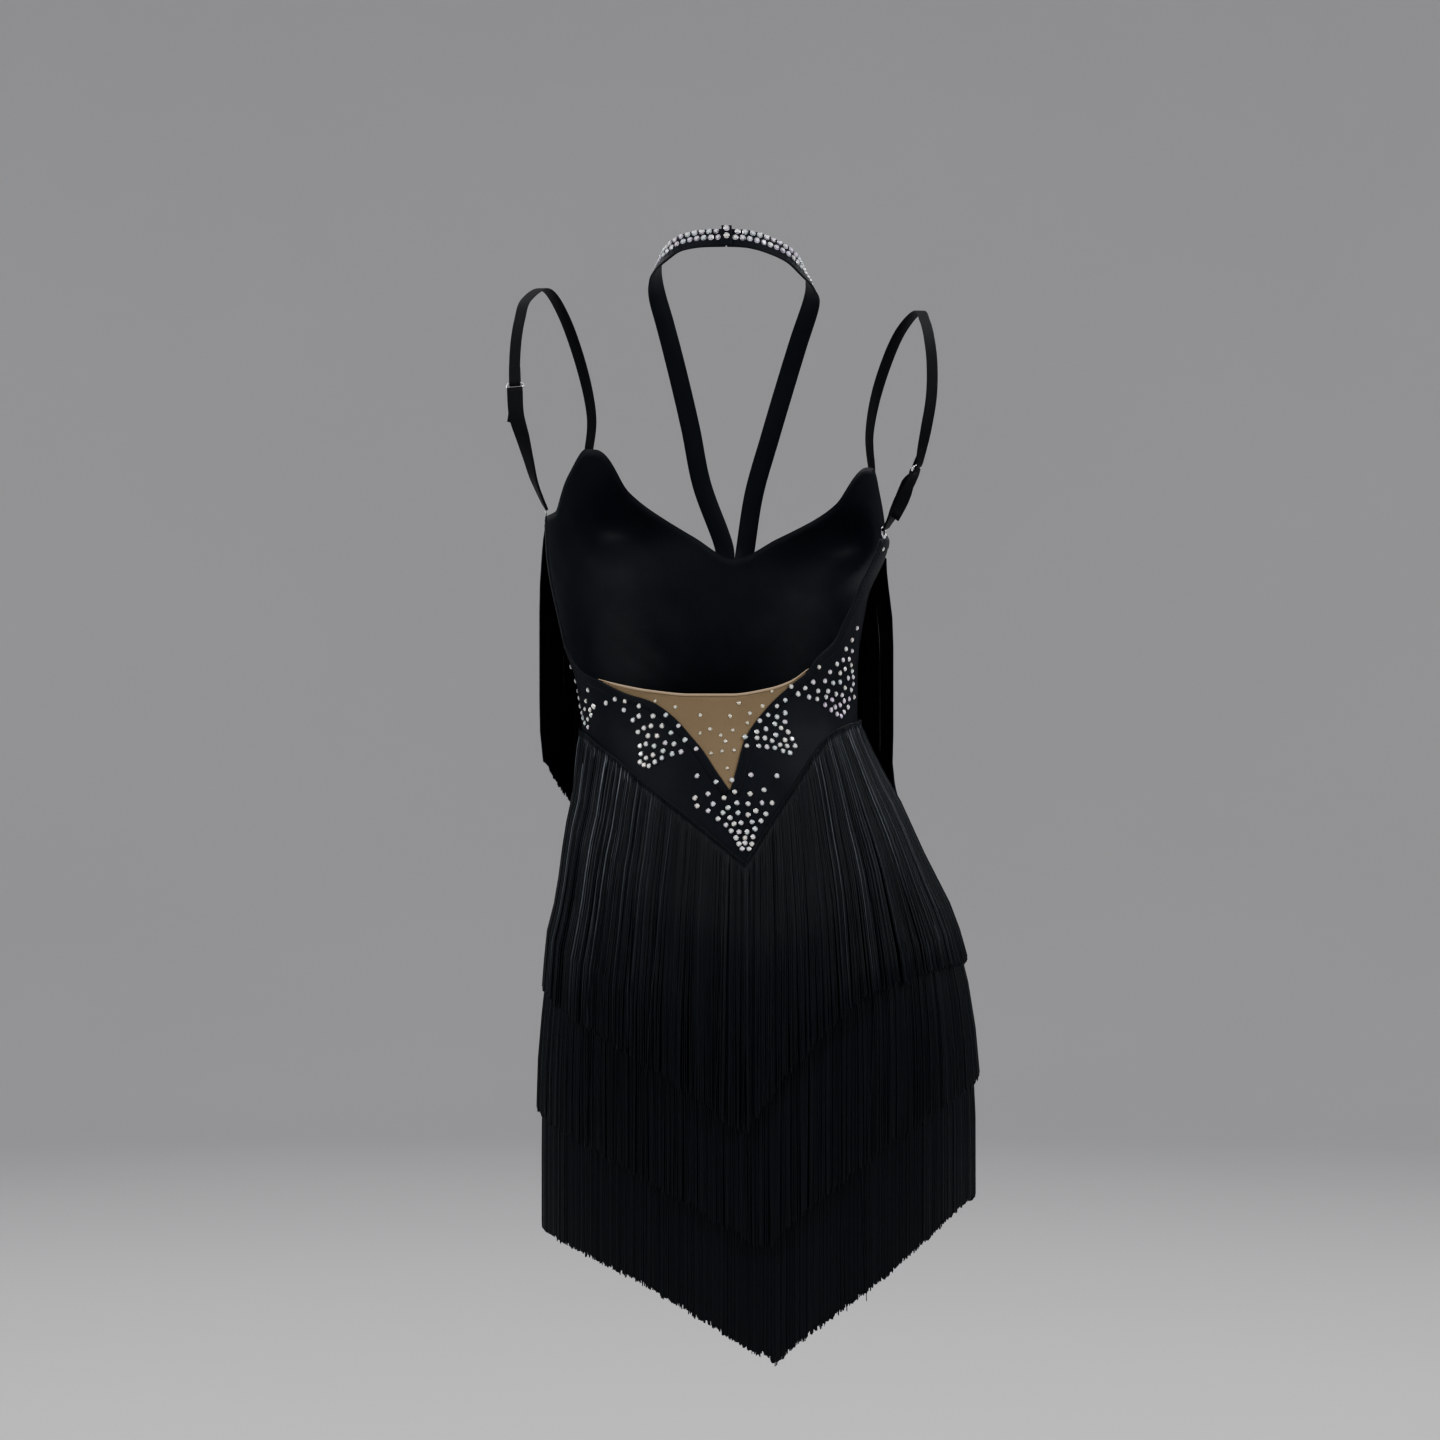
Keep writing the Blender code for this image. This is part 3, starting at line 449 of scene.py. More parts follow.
def add_field(mesh, name, values):
    layer = mesh.attributes.new(name, "FLOAT", "POINT")
    layer.data.foreach_set("value", np.full(len(mesh.vertices), values, np.float32))


def make_piece(name, points, faces, stuff, fields=None, uv=None, smooth=None):
    """A mesh from points in mm that rides on the dress, all smooth or only its first faces."""
    look, slot = stuff
    mesh = bpy.data.meshes.new(name)
    mesh.from_pydata((np.asarray(points).reshape(-1, 3) * MM).tolist(), [], faces)
    if uv is not None:
        layer = mesh.uv_layers.new(name="cloth")
        corners = np.empty(len(mesh.loops), np.int32)
        mesh.loops.foreach_get("vertex_index", corners)
        layer.uv.foreach_set("vector", np.asarray(uv, np.float32)[corners].ravel())
    for field, values in (fields or {}).items():
        add_field(mesh, field, values)
    if smooth is None:
        mesh.shade_smooth()
    else:
        mesh.polygons.foreach_set("use_smooth", np.arange(len(faces)) < smooth)
    mesh.materials.append(look)
    obj = add_object(name, mesh)
    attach(obj, BODY)
    return obj


def grid_faces(rows, columns, start=0, turned=False, closed=False, looped=False):
    """Faces between neighbouring points; closed joins the columns' ends, and looped the rows'."""
    faces = []
    for i in range(rows if looped else rows - 1):
        for j in range(columns if closed else columns - 1):
            below, k = (i + 1) % rows, (j + 1) % columns
            a, b = start + i * columns + j, start + below * columns + j
            c, d = start + below * columns + k, start + i * columns + k
            faces.append((a, d, c, b) if turned else (a, b, c, d))
    return faces


def caps(count, sides, start=0):
    """The end faces of a bar of rings."""
    last = start + (count - 1) * sides
    return [tuple(range(start, start + sides)), tuple(reversed(range(last, last + sides)))]


def flipped(faces):
    return [tuple(reversed(face)) for face in faces]


def wall(name, outer, inner, stuff, uv):
    """A sheet with thickness between two grids of points of the same shape."""
    rows, columns = outer.shape[:2]
    back = rows * columns
    faces = grid_faces(rows, columns) + grid_faces(rows, columns, back, turned=True)
    rim = list(range(columns)) + [i * columns + columns - 1 for i in range(1, rows)]
    rim += [(rows - 1) * columns + j for j in range(columns - 2, -1, -1)]
    rim += [i * columns for i in range(rows - 2, 0, -1)]
    faces += [(a, b, back + b, back + a) for a, b in zip(rim, rim[1:] + rim[:1])]
    uv = np.concatenate([uv.reshape(-1, 2)] * 2)
    return make_piece(name, np.concatenate([outer, inner]), faces, stuff, uv=uv)


def make_bar(name, rings, across, along, stuff, looped=False, flip=False):
    """A bar through rings of points, with mm across and along for its uv; looped, its ends join."""
    count, sides = rings.shape[:2]
    faces = grid_faces(count, sides, closed=True, looped=looped)
    if not looped:
        faces += caps(count, sides)
    uv = np.stack(np.broadcast_arrays(across[None], along[:, None]), -1).reshape(-1, 2) * MM
    return make_piece(name, rings, flipped(faces) if flip else faces, stuff, uv=uv)


def swept(name, centres, across, out, profile, stuff, looped=False, gather=None):
    """A bar along centres, of one profile of mm across and out, that gather narrows ring by ring."""
    profile = np.asarray(profile, float)
    width = np.ones(len(centres)) if gather is None else gather
    broad = across[:, None] * profile[None, :, :1] * width[:, None, None]
    rings = centres[:, None] + broad + out[:, None] * profile[None, :, 1:]
    return make_bar(name, rings, profile[:, 0], distances(centres), stuff, looped)


def oval(half_wide, half_tall):
    angles = np.linspace(0, 2 * math.pi, 12, endpoint=False)
    return [(math.cos(a) * half_wide, math.sin(a) * half_tall) for a in angles]


def band_profile(wide, thick):
    """A flat band's section with rounded edges, counted the same way as a swept bar needs."""
    half, deep = wide / 2, thick / 2
    top = [(half, 0), (half - BAND_EDGE * 0.3, deep * 0.7), (half - BAND_EDGE, deep)]
    flat = [(half * k / 4, deep) for k in (3, 1.5, 0, -1.5, -3)]
    under = [(x, -deep * 0.98) for x in (-half + BAND_EDGE, 0, half - BAND_EDGE)]
    return top + flat + [(-x, y) for x, y in reversed(top)] + under


def smooth_route(stops, fine):
    """Points and facings along a curve through the stops."""
    stops = np.asarray(stops, float)
    spots, faces = stops[:, :3], unit(stops[:, 3:])
    points, facings = [], []
    for i in range(len(spots) - 1):
        a, b = spots[i], spots[i + 1]
        before, after = spots[max(i - 1, 0)], spots[min(i + 2, len(spots) - 1)]
        for k in range(fine):
            t = k / fine
            bend = (b - before) * (t * (1 - t) ** 2) - (after - a) * (t * t * (1 - t))
            points.append(a * (1 + 2 * t) * (1 - t) ** 2 + b * (3 - 2 * t) * t * t + bend / 2)
            facings.append(faces[i] + (faces[i + 1] - faces[i]) * t)
    return np.array(points + [spots[-1]]), unit(np.array(facings + [faces[-1]]))


def directions(points, facings):
    """The across and outward directions of a band along a route."""
    ahead = unit(np.gradient(points, axis=0))
    across = unit(np.cross(ahead, facings))
    return across, unit(np.cross(across, ahead))


def ribbon(name, points, facings, wide, thick, stuff, gather=None):
    across, out = directions(points, facings)
    return swept(name, points, across, out, band_profile(wide, thick), stuff, gather=gather)


def round_offsets(centres, out, across, up):
    """Steps from paths' centres to points round them."""
    ahead = unit(np.gradient(centres, axis=1))
    side = unit(np.cross(ahead, out))
    front = np.cross(side, ahead)
    return side[:, :, None] * across[..., None] + front[:, :, None] * up[..., None]


def threads(name, centres, out, radius, stuff, sides=5):
    """Short round bars along paths."""
    count, rings = centres.shape[:2]
    angle = 2 * math.pi * np.arange(sides) / sides
    points = centres[:, :, None] + round_offsets(centres, out, np.cos(angle), np.sin(angle)) * radius
    faces = []
    for start in range(0, count * rings * sides, rings * sides):
        faces += flipped(grid_faces(rings, sides, start, closed=True)) + caps(rings, sides, start)
    flat = points.reshape(-1, 3)
    return make_piece(name, flat, faces, stuff, uv=flat[:, ::2] * MM)


# ---- materials


class Look:
    """A material on one shader, with short names for the nodes that feed it."""

    def __init__(self, name, roughness, metallic=0.0, sheen=0.0, coat=0.0, specular=0.5):
        self.material = bpy.data.materials.new(name)
        self.material.use_nodes = True
        self.tree = self.material.node_tree
        self.shader = self.tree.nodes["Principled BSDF"].inputs
        self.shader["Roughness"].default_value = roughness
        self.shader["Metallic"].default_value = metallic
        self.shader["Sheen Weight"].default_value = sheen
        self.shader["Sheen Roughness"].default_value = 0.35
        self.shader["Coat Weight"].default_value = coat
        self.shader["Specular IOR Level"].default_value = specular

    def node(self, kind, **settings):
        node = self.tree.nodes.new(kind)
        for key, value in settings.items():
            setattr(node, key, value)
        return node

    def plug(self, source, target):
        self.tree.links.new(source, target)

    def maths(self, operation, *values):
        node = self.node("ShaderNodeMath", operation=operation)
        for socket, value in zip(node.inputs, values):
            if hasattr(value, "is_output"):
                self.plug(value, socket)
            else:
                socket.default_value = value
        return node.outputs[0]

    def times(self, a, b):
        return self.maths("MULTIPLY", a, b)

    def plus(self, a, b):
        return self.maths("ADD", a, b)

    def field(self, name, output="Fac"):
        return self.node("ShaderNodeAttribute", attribute_name=name).outputs[output]

    def uv(self):
        split = self.node("ShaderNodeSeparateXYZ")
        self.plug(self.node("ShaderNodeUVMap", uv_map="cloth").outputs["UV"], split.inputs[0])
        return split.outputs["X"], split.outputs["Y"]

    def ridges(self, along, pitch):
        """A wave of this pitch in metres, from 0 to 1."""
        wave = self.maths("SINE", self.times(along, 2 * math.pi / pitch))
        return self.times(self.plus(wave, 1.0), 0.5)

    def noise(self, scale, detail=3.0, source=None):
        node = self.node("ShaderNodeTexNoise")
        node.inputs["Scale"].default_value = scale
        node.inputs["Detail"].default_value = detail
        if source is None:
            source = self.node("ShaderNodeTexCoord").outputs["Object"]
        self.plug(source, node.inputs["Vector"])
        return node.outputs["Fac"]

    def tone(self, factor, dark, light):
        """The base colour, between two by a factor."""
        mix = self.node("ShaderNodeMix", data_type="RGBA")
        self.plug(factor, mix.inputs["Factor"])
        mix.inputs["A"].default_value = (*dark, 1)
        mix.inputs["B"].default_value = (*light, 1)
        self.plug(mix.outputs["Result"], self.shader["Base Color"])

    def rough(self, patch, by, least):
        self.plug(self.plus(self.times(patch, by), least), self.shader["Roughness"])

    def bump(self, height, strength, distance):
        node = self.node("ShaderNodeBump")
        node.inputs["Strength"].default_value = strength
        node.inputs["Distance"].default_value = distance
        self.plug(height, node.inputs["Height"])
        self.plug(node.outputs["Normal"], self.shader["Normal"])


def jersey_look():
    """Black stretch jersey: fine wales, a soft nap and a faint cloudy change of tone."""
    look = Look("black_jersey", 0.6, sheen=0.015, specular=0.085)
    across, along = look.uv()
    wales, courses = look.ridges(across, 0.0011), look.ridges(along, 0.0009)
    look.tone(look.noise(55.0), (0.0020, 0.0029, 0.0050), (0.0044, 0.0058, 0.0096))
    look.rough(look.noise(900.0, 1.0), 0.18, 0.46)
    look.bump(look.plus(wales, look.times(courses, 0.5)), 0.35, 0.00012)
    return look.material


def fringe_look():
    """Black rayon chainette: small loops, with a painted highlight in the base colour that comes and
    goes down each strand.
    """
    look = Look("rayon_fringe", 0.34, specular=0.11)
    strand, gone = look.field("strand"), look.field("gone")
    where = look.node("ShaderNodeCombineXYZ")
    look.plug(look.times(strand, 61.0), where.inputs["X"])
    look.plug(look.times(gone, 55.0), where.inputs["Y"])
    patch = look.noise(1.0, 2.0, where.outputs[0])
    # Painted highlight: it fades out down each strand, over about its first 200 mm
    fading = look.maths("SUBTRACT", 1.35, look.times(gone, 6.5))
    patches = look.times(patch, look.maths("MAXIMUM", fading, 0.0))
    # Strands with a high value get a lighter blue-grey base colour: a painted highlight on the black
    # yarn
    painted_highlight = look.times(look.maths("POWER", strand, 12.0), look.times(patches, 1.6))
    look.tone(painted_highlight, (0.0030, 0.0044, 0.0064), (0.2100, 0.2350, 0.2700))
    dull = look.plus(look.times(patch, 0.3), 0.26)
    rough = look.maths("SUBTRACT", dull, look.times(painted_highlight, 0.25))
    look.plug(rough, look.shader["Roughness"])
    look.bump(look.ridges(gone, 0.0017), 0.45, 0.0002)
    return look.material


def net_look():
    """Nude stretch net, nearly opaque, with a fine square mesh."""
    look = Look("nude_net", 0.7, sheen=0.15, specular=0.25)
    across, along = look.uv()
    threads = look.maths("MAXIMUM", look.ridges(across, 0.0013), look.ridges(along, 0.0013))
    light = look.times(look.plus(threads, look.noise(30.0)), 0.5)
    look.tone(light, (0.156, 0.104, 0.052), (0.236, 0.166, 0.088))
    look.bump(threads, 0.4, 0.00015)
    look.shader["Alpha"].default_value = 0.94
    return look.material


def binding_look():
    look = Look("champagne_binding", 0.42, sheen=0.2)
    ribs = look.ridges(look.uv()[1], 0.0012)
    look.tone(ribs, (0.36, 0.25, 0.145), (0.47, 0.345, 0.21))
    look.bump(ribs, 0.3, 0.00015)
    return look.material


def elastic_look():
    """Black woven elastic: ribs along its length, crossed by fine picks."""
    look = Look("strap_elastic", 0.55, specular=0.07)
    across, along = look.uv()
    ribs, picks = look.ridges(across, 0.0012), look.ridges(along, 0.0008)
    weave = look.times(ribs, look.plus(look.times(picks, 0.5), 0.5))
    look.tone(weave, (0.0018, 0.0022, 0.0028), (0.0056, 0.0062, 0.0074))
    look.bump(weave, 0.6, 0.0002)
    return look.material


def metal_look():
    look = Look("plated_metal", 0.18, metallic=1.0)
    look.tone(look.noise(400.0), (0.62, 0.62, 0.64), (0.88, 0.88, 0.90))
    look.rough(look.noise(700.0), 0.16, 0.1)
    return look.material


def crystal_look():
    """Foiled crystal with a rainbow coat: each facet has its own pale colour with painted glint and
    shade in it, and the stone glows in that colour as painted sparkle.
    """
    look = Look("coated_crystal", 0.22, metallic=0.7, coat=1.0)
    look.shader["Coat Roughness"].default_value = 0.03
    tint_and_painted_light = look.field("tint_and_painted_light", "Color")
    look.plug(tint_and_painted_light, look.shader["Base Color"])
    look.plug(tint_and_painted_light, look.shader["Emission Color"])
    look.shader["Emission Strength"].default_value = STONE_PAINTED_GLOW
    look.rough(look.noise(1500.0), 0.1, 0.17)
    return look.material


def stage_look():
    look = Look("pale_stage", 0.85, specular=0.2)
    look.tone(look.noise(2.0), (0.60, 0.60, 0.61), (0.64, 0.64, 0.65))
    return look.material


# Each stuff's look and slot; the thread of the stitches lies in the cloth
JERSEY, RAYON = (jersey_look(), "stretch_cloth"), (fringe_look(), "fringe_yarn")
NET, BINDING = (net_look(), "nude_net"), (binding_look(), "nude_net")
ELASTIC, METAL = (elastic_look(), "elastic"), (metal_look(), "silver_metal")
CRYSTAL, THREAD = (crystal_look(), "silver_metal"), (ELASTIC[0], "stretch_cloth")


# ---- fringe


def v_line(tier):
    """The height of a tier's seam by angle."""
    left, right = (smooth_through(*zip(*seam)) for seam in (SEAM_LEFT, SEAM_RIGHT))

    def height(turn):
        turn = np.asarray(turn, float)
        at_right = np.sin(np.radians(turn)) > 0
        side = np.where(at_right, tier.right, tier.left)
        point = np.where(np.cos(np.radians(turn)) > 0, tier.back, tier.front)
        widest = abs(math.cos(math.radians(tier.turn)))
        level = np.minimum(np.abs(np.sin(np.radians(turn - tier.turn))) / widest, 1.0)
        if tier is TIERS[0]:
            angle = np.degrees(np.arcsin(level))
            rise = np.where(at_right, right(angle), left(angle))
        else:
            rise = level ** np.where(at_right, V_POWER_RIGHT, V_POWER_LEFT)
        return point + (side - point) * rise

    return height


LINES = [v_line(tier) for tier in TIERS]
BUST_DROP = smooth_through(*zip(*BUST_DROPS))
TRIM = smooth_through(*zip(*HEM_TRIM))


def bust_line(turn):
    share = (turn - BUST_ENDS[0]) / (BUST_ENDS[1] - BUST_ENDS[0])
    return BUST_RIGHT + (BUST_LEFT - BUST_RIGHT) * share - BUST_DROP(np.abs(turn - FRONT_TURN))


def clearance(level, turn, z, gone):
    """How far strands lie off the cloth, pushed out by the rows from this level down."""
    lift = SEAT + HANG_OFF * ease((gone - STRIP_TALL) / HANG_OFF_BY)
    for further, line in enumerate(LINES[level:]):
        start = line(turn) + RAMP_LEAD + RAMP_AHEAD * further
        lift = lift + TIER_PITCH * ease((start - z) / RAMP_LONG)
    return lift


def fall(turn, z, length, level):
    """How strands hang from their roots: arrays of distance, inner point and outward direction."""
    gone = np.zeros(len(turn))
    point = skin(turn, z, clearance(level, turn, z, gone))
    path = [(gone, point, level_out(turn, z))]
    for _ in range(math.ceil(length / FALL_STEP) + 2):
        point = point - np.array([0, 0, FALL_STEP])
        turn, z = turn_of(point), point[:, 2]
        out = level_out(turn, z)
        support = skin(turn, z, clearance(level, turn, z, gone))
        pushed = np.maximum(((support - point) * out).sum(-1), 0)
        point = point + out * pushed[:, None]
        gone = gone + np.hypot(FALL_STEP, pushed)
        path.append((gone, point, out))
    return tuple(np.array(part) for part in zip(*path))


def even_turns(line, start, end, count):
    """Angles that divide the cloth along a line into equal level lengths."""
    turns = np.linspace(start, end, 1441)
    gone = distances(skin(turns, line(turns))[:, :2])
    wanted = np.linspace(0, gone[-1], count, endpoint=False) + gone[-1] / count / 2
    return np.interp(wanted, gone, turns)


def wander(chance, count, reach):
    """Smooth random values in a row, like neighbours that lean the same way."""
    raw = chance.normal(size=count + 2 * reach)
    kernel = np.hanning(2 * reach + 1)
    return np.convolve(raw, kernel / np.sqrt((kernel**2).sum()), "valid")[:count]


def billow(turns, gone):
    """How far the bust fringe stands off at its sides."""
    most, left = (np.where(turns < FRONT_TURN, *pair) for pair in zip(BILLOW_RIGHT, BILLOW_LEFT))
    most = most * ease((np.abs(turns - FRONT_TURN) - 45) / 30)
    going = ease((gone - BILLOW_STAYS) / (BILLOW_GOES - BILLOW_STAYS))
    return most[:, None] * ease(gone / 60) * (1 - (1 - left)[:, None] * going)


def strands(name, line, turns, level, length, make):
    """Chainette strands that hang from a line round the body, in locks that drift and cross."""
    chance = np.random.default_rng(make.seed)
    count = len(turns)
    turns = turns + np.gradient(turns) * chance.uniform(-ROOT_SHIFT, ROOT_SHIFT, count)
    heights = line(turns) - chance.uniform(*ROOT_DOWN, count)
    gone, points, outs = fall(turns, heights, length + 12, level)
    lengths = length - CUT_SHORT + 0.5 * wander(chance, count, 6)
    lengths = lengths + chance.uniform(*CUT_UNEVEN, count)
    if make.trimmed:
        lengths = lengths - TRIM((turns + 180) % 360 - 180)
    shares = np.concatenate([[0, 0.022, 0.06], np.linspace(0.13, 0.998, make.rings - 4), [1]])
    wanted = lengths[:, None] * shares
    at = np.array([read_off(w, gone[:, k], points[:, k]) for k, w in enumerate(wanted)])
    out = np.array([read_off(w, gone[:, k], outs[:, k]) for k, w in enumerate(wanted)])

    # Sideways: locks draw together, lean and drift, and some strands lie astray
    apart = np.linalg.norm(np.diff(points[0, :, :2], axis=0), axis=1).mean()
    lock = np.cumsum(chance.random(count) < LOCK_STARTS)
    middles = np.bincount(lock, np.arange(count)) / np.bincount(lock)
    drawn = (np.arange(count) - middles[lock]) * apart * make.clump
    own = chance.normal(size=lock[-1] + 1)[lock] + chance.normal(size=count)
    drift = make.drift * (0.9 * wander(chance, count, 16) + 0.3 * own)
    astray = (chance.random(count) < make.stray) * chance.normal(0, STRAY_REACH, count)
    sway = np.sin(shares * chance.uniform(4, 10, (count, 1)) + chance.uniform(0, 6.3, (count, 1)))
    aside = shares**1.3 * ((drift + drawn + astray)[:, None] + 0.3 * make.drift * sway)
    at += unit(np.cross(out, [0, 0, 1.0])) * aside[..., None]

    # Outwards: locks lie unevenly once they are free of the tape
    free = ease((wanted - HEADER_TALL) / 6)
    lift = np.clip(make.uneven * chance.normal(size=lock[-1] + 1)[lock], -0.4, 0.9)
    lift = STRAND_DEEP - ROOT_DEEP + chance.uniform(-0.4, 0.4, count) + lift
    deep = ROOT_DEEP + free * lift[:, None] + free * 0.5 * (np.abs(astray) > 1)[:, None]
    if level == 0:
        deep = deep + billow(turns, wanted)
    if level == 1:
        at_left = ease((-np.sin(np.radians(turns)) - 0.5) / 0.4)
        deep = deep - HEM_TUCK * at_left[:, None] * ease((shares - 0.75) / 0.25)
    # Painted highlight: a random value for each strand, fullest over the top tier's hips
    at_hips = ease((np.abs(np.sin(np.radians(turns - 2))) - 0.35) / 0.4)
    painted_glint = chance.random(count) * (1 - make.hidden + make.hidden * at_hips * (level == 1))
    return tubes(name, at + out * deep[..., None], out, wanted, painted_glint, chance)


def tubes(name, centres, out, gone, painted_glint, chance, sides=4):
    """Round strands along many paths, with their painted highlight value and the distance down them.
    """
    count, rings = centres.shape[:2]
    angle = chance.uniform(0, 2 * math.pi, (count, 1, 1)) + 2 * math.pi * np.arange(sides) / sides
    radius = STRAND_RADIUS * chance.uniform(0.85, 1.12, (count, 1, 1)) * np.ones((1, rings, 1))
    radius[:, -1] *= 0.8
    around = round_offsets(centres, out, np.cos(angle) * radius, np.sin(angle) * radius)
    points = centres[:, :, None] + around
    quads = np.array(grid_faces(rings, sides, closed=True))
    starts = np.arange(count)[:, None] * rings * sides
    faces = (quads + starts[:, None]).reshape(-1, 4)
    top = starts + np.arange(sides)[::-1]
    low = starts + (rings - 1) * sides + np.arange(sides)
    sided = len(faces)
    faces = np.concatenate([faces, top, low])[:, ::-1].tolist()
    fields = {
        "strand": np.repeat(painted_glint, rings * sides),
        "gone": np.repeat(gone.ravel() * MM, sides),
    }
    return make_piece(name, points, faces, RAYON, fields=fields, smooth=sided)


def header(name, line, start, end, level):
    """The tape that the strands hang from, under two rows of crossing loops."""
    closed = level > 0
    turns = even_turns(line, start, end, round(3.0 * (end - start)))
    z = line(turns)
    lift = clearance(level, turns, z, 0.0)
    rows = [skin(turns, z + down, lift + HEADER_PROUD * deep) for down, deep in HEADER_SECTION]
    points = np.stack(rows, 1)
    count, sides = points.shape[:2]
    faces = grid_faces(count, sides, turned=True, closed=True, looped=closed)
    if not closed:
        faces += flipped(caps(count, sides))
    # The tape and its loops carry a little painted highlight too, as the strands' roots do
    tape = make_piece(name, points, faces, RAYON, fields={"strand": HEADER_PAINTED_HIGHLIGHT, "gone": 0})
    around = distances(skin(turns, z))[-1]
    loops = even_turns(line, start, end, 2 * round(around / LOOP_PITCH / 2))
    if closed:
        loops = np.append(loops, loops[0] + 360)
    z = line(loops)
    lift = clearance(level, loops, z, 0.0)
    for row in (0, 1):
        down = 0.5 + (np.arange(len(loops)) + row) % 2 * (HEADER_TALL - 0.9)
        centres = skin(loops, z - down, lift + LOOP_LIFT + LOOP_OVER * row)
        bars = f"{name}_loops_{row + 1}", centres[None], away(loops, z)[None]
        add_field(threads(*bars, LOOP_RADIUS, RAYON, sides=4).data, "strand", HEADER_PAINTED_HIGHLIGHT)
    return tape


def make_fringe(name, line, ends, level, length, make):
    """One row of fringe: its strands and their tape."""
    turns = even_turns(line, *ends, make.strands)
    hung = strands(name + "_strands", line, turns, level, length, make)
    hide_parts(name)
    return hung, header(name + "_header", line, *ends, level)


def make_fringes():
    tiers = enumerate(zip(TIERS, LINES, TIER_MAKES), 1)
    made = []
    for level, (tier, line, make) in tiers:
        ends = tier.turn, tier.turn + 360
        made.append(make_fringe(f"fringe_tier_{level}", line, ends, level, tier.length, make))
    return made + [make_fringe("fringe_bust", bust_line, BUST_ENDS, 0, BUST_LENGTH, BUST_MAKE)]


# ---- cloth


def chain(points, count):
    """Even samples of a smooth curve through points of angle, height and more."""
    points = np.asarray(points, float)
    gone = distances(skin(points[:, 0], points[:, 1]))
    wanted = np.linspace(0, gone[-1], count)
    return np.stack([smooth_through(gone, column)(wanted) for column in points.T], 1)


def ripple(turn, z, seed):
    """Soft unevenness of stretched cloth, in mm, always inward."""
    chance = np.random.default_rng(seed)
    total = 0.0
    for _ in range(RIPPLES):
        lean = chance.uniform(-RIPPLE_LEAN, RIPPLE_LEAN)
        length = chance.uniform(RIPPLE_SHORT, RIPPLE_LONG)
        phase = chance.uniform(0, 6.28)
        wave = np.sin((turn * 1.9 + z * lean) * 2 * math.pi / length + phase)
        total = total + wave * length / RIPPLE_LONG
    return -RIPPLE_DEEP * (total / 2 + 1.6)


def cloth_grid(name, top_turn, top_z, hem_turn, rows):
    """A panel of jersey from its top edge to the hem, its ripple seeded by its name's length."""
    share = np.linspace(0, 1, rows)[:, None]
    turn = top_turn + (hem_turn - top_turn) * share
    z = top_z + (LINES[-1](hem_turn) - HEM_BELOW - top_z) * share
    lift = ripple(turn, z, len(name)) * ease(share * 8)
    uv = np.stack([turn * JERSEY_UV, z], -1) * MM
    return wall(name, skin(turn, z, lift), skin(turn, z, lift - CLOTH), JERSEY, uv)


def beside(curve):
    """The angle and height at a reach in mm to the inner side of a curve on the cloth."""
    turn, z = curve[:, 0], curve[:, 1]
    across_mm = np.linalg.norm(outer_face(turn + 0.5, z) - outer_face(turn - 0.5, z), axis=1)
    along = np.stack([np.gradient(turn) * across_mm, np.gradient(z)], 1)
    side = unit(np.stack([along[:, 1], -along[:, 0]], 1))
    return lambda reach: (turn + side[:, 0] * reach / across_mm, z + side[:, 1] * reach)


def edge_strip(name, curve):
    """The turned and stitched edge that follows a curve of (angle, height) on the cloth."""
    place = beside(curve)
    rings = np.stack([skin(*place(reach), lift) for reach, lift in EDGE_SECTION], 1)
    along = distances(rings[:, len(EDGE_SECTION) // 2])
    return make_bar(name, rings, np.array(EDGE_SECTION)[:, 0], along, JERSEY)


def stitches(name, curve):
    """A row of thread stitches along a turned edge."""
    turn, z = beside(curve)(STITCH_IN)
    line, out = skin(turn, z, STITCH_LIFT), away(turn, z)
    gone = distances(line)
    starts = (np.arange(int(gone[-1] / STITCH_PITCH)) + 0.5) * STITCH_PITCH
    wanted = starts[:, None] + np.array([0.0, 0.25, 0.75, 1.0]) * STITCH_LONG
    outs = unit(read_off(wanted, gone, out))
    arch = outs * np.array([-0.15, 0.12, 0.12, -0.15])[None, :, None]
    return threads(name, read_off(wanted, gone, line) + arch, outs, STITCH_RADIUS, THREAD)


def make_back():
    left, right = chain(OPENING_LEFT, 90), chain(OPENING_RIGHT, 84)
    top_left, top_right = chain(TOP_LEFT, 8), chain(TOP_RIGHT, 14)
    columns = np.concatenate([top_left[:-1], left, right[1:], top_right[1:]])
    body = cloth_grid("dress_back_cloth", *columns.T, 64)
    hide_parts("dress_back")
    parts = []
    for side, curve in (("left", left), ("right", right)):
        parts.append(edge_strip(f"back_edge_{side}", curve))
        parts.append(stitches(f"back_stitches_{side}", curve))
    for side, curve in (("left", top_left), ("right", top_right)):
        parts.append(edge_strip(f"underarm_edge_{side}", chain(curve[:, :2], 24)))
    return body, parts


def make_front():
    turns, fine = np.linspace(90, 270, 170), np.linspace(90, 270, 340)
    top = smooth_through(*zip(*NECKLINE))
    body = cloth_grid("dress_front_cloth", turns, top(turns), turns, 72)
    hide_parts("dress_front")
    curve = np.stack([fine, top(fine)], 1)
    return body, [edge_strip("neckline_edge", curve), stitches("neckline_stitches", curve)]


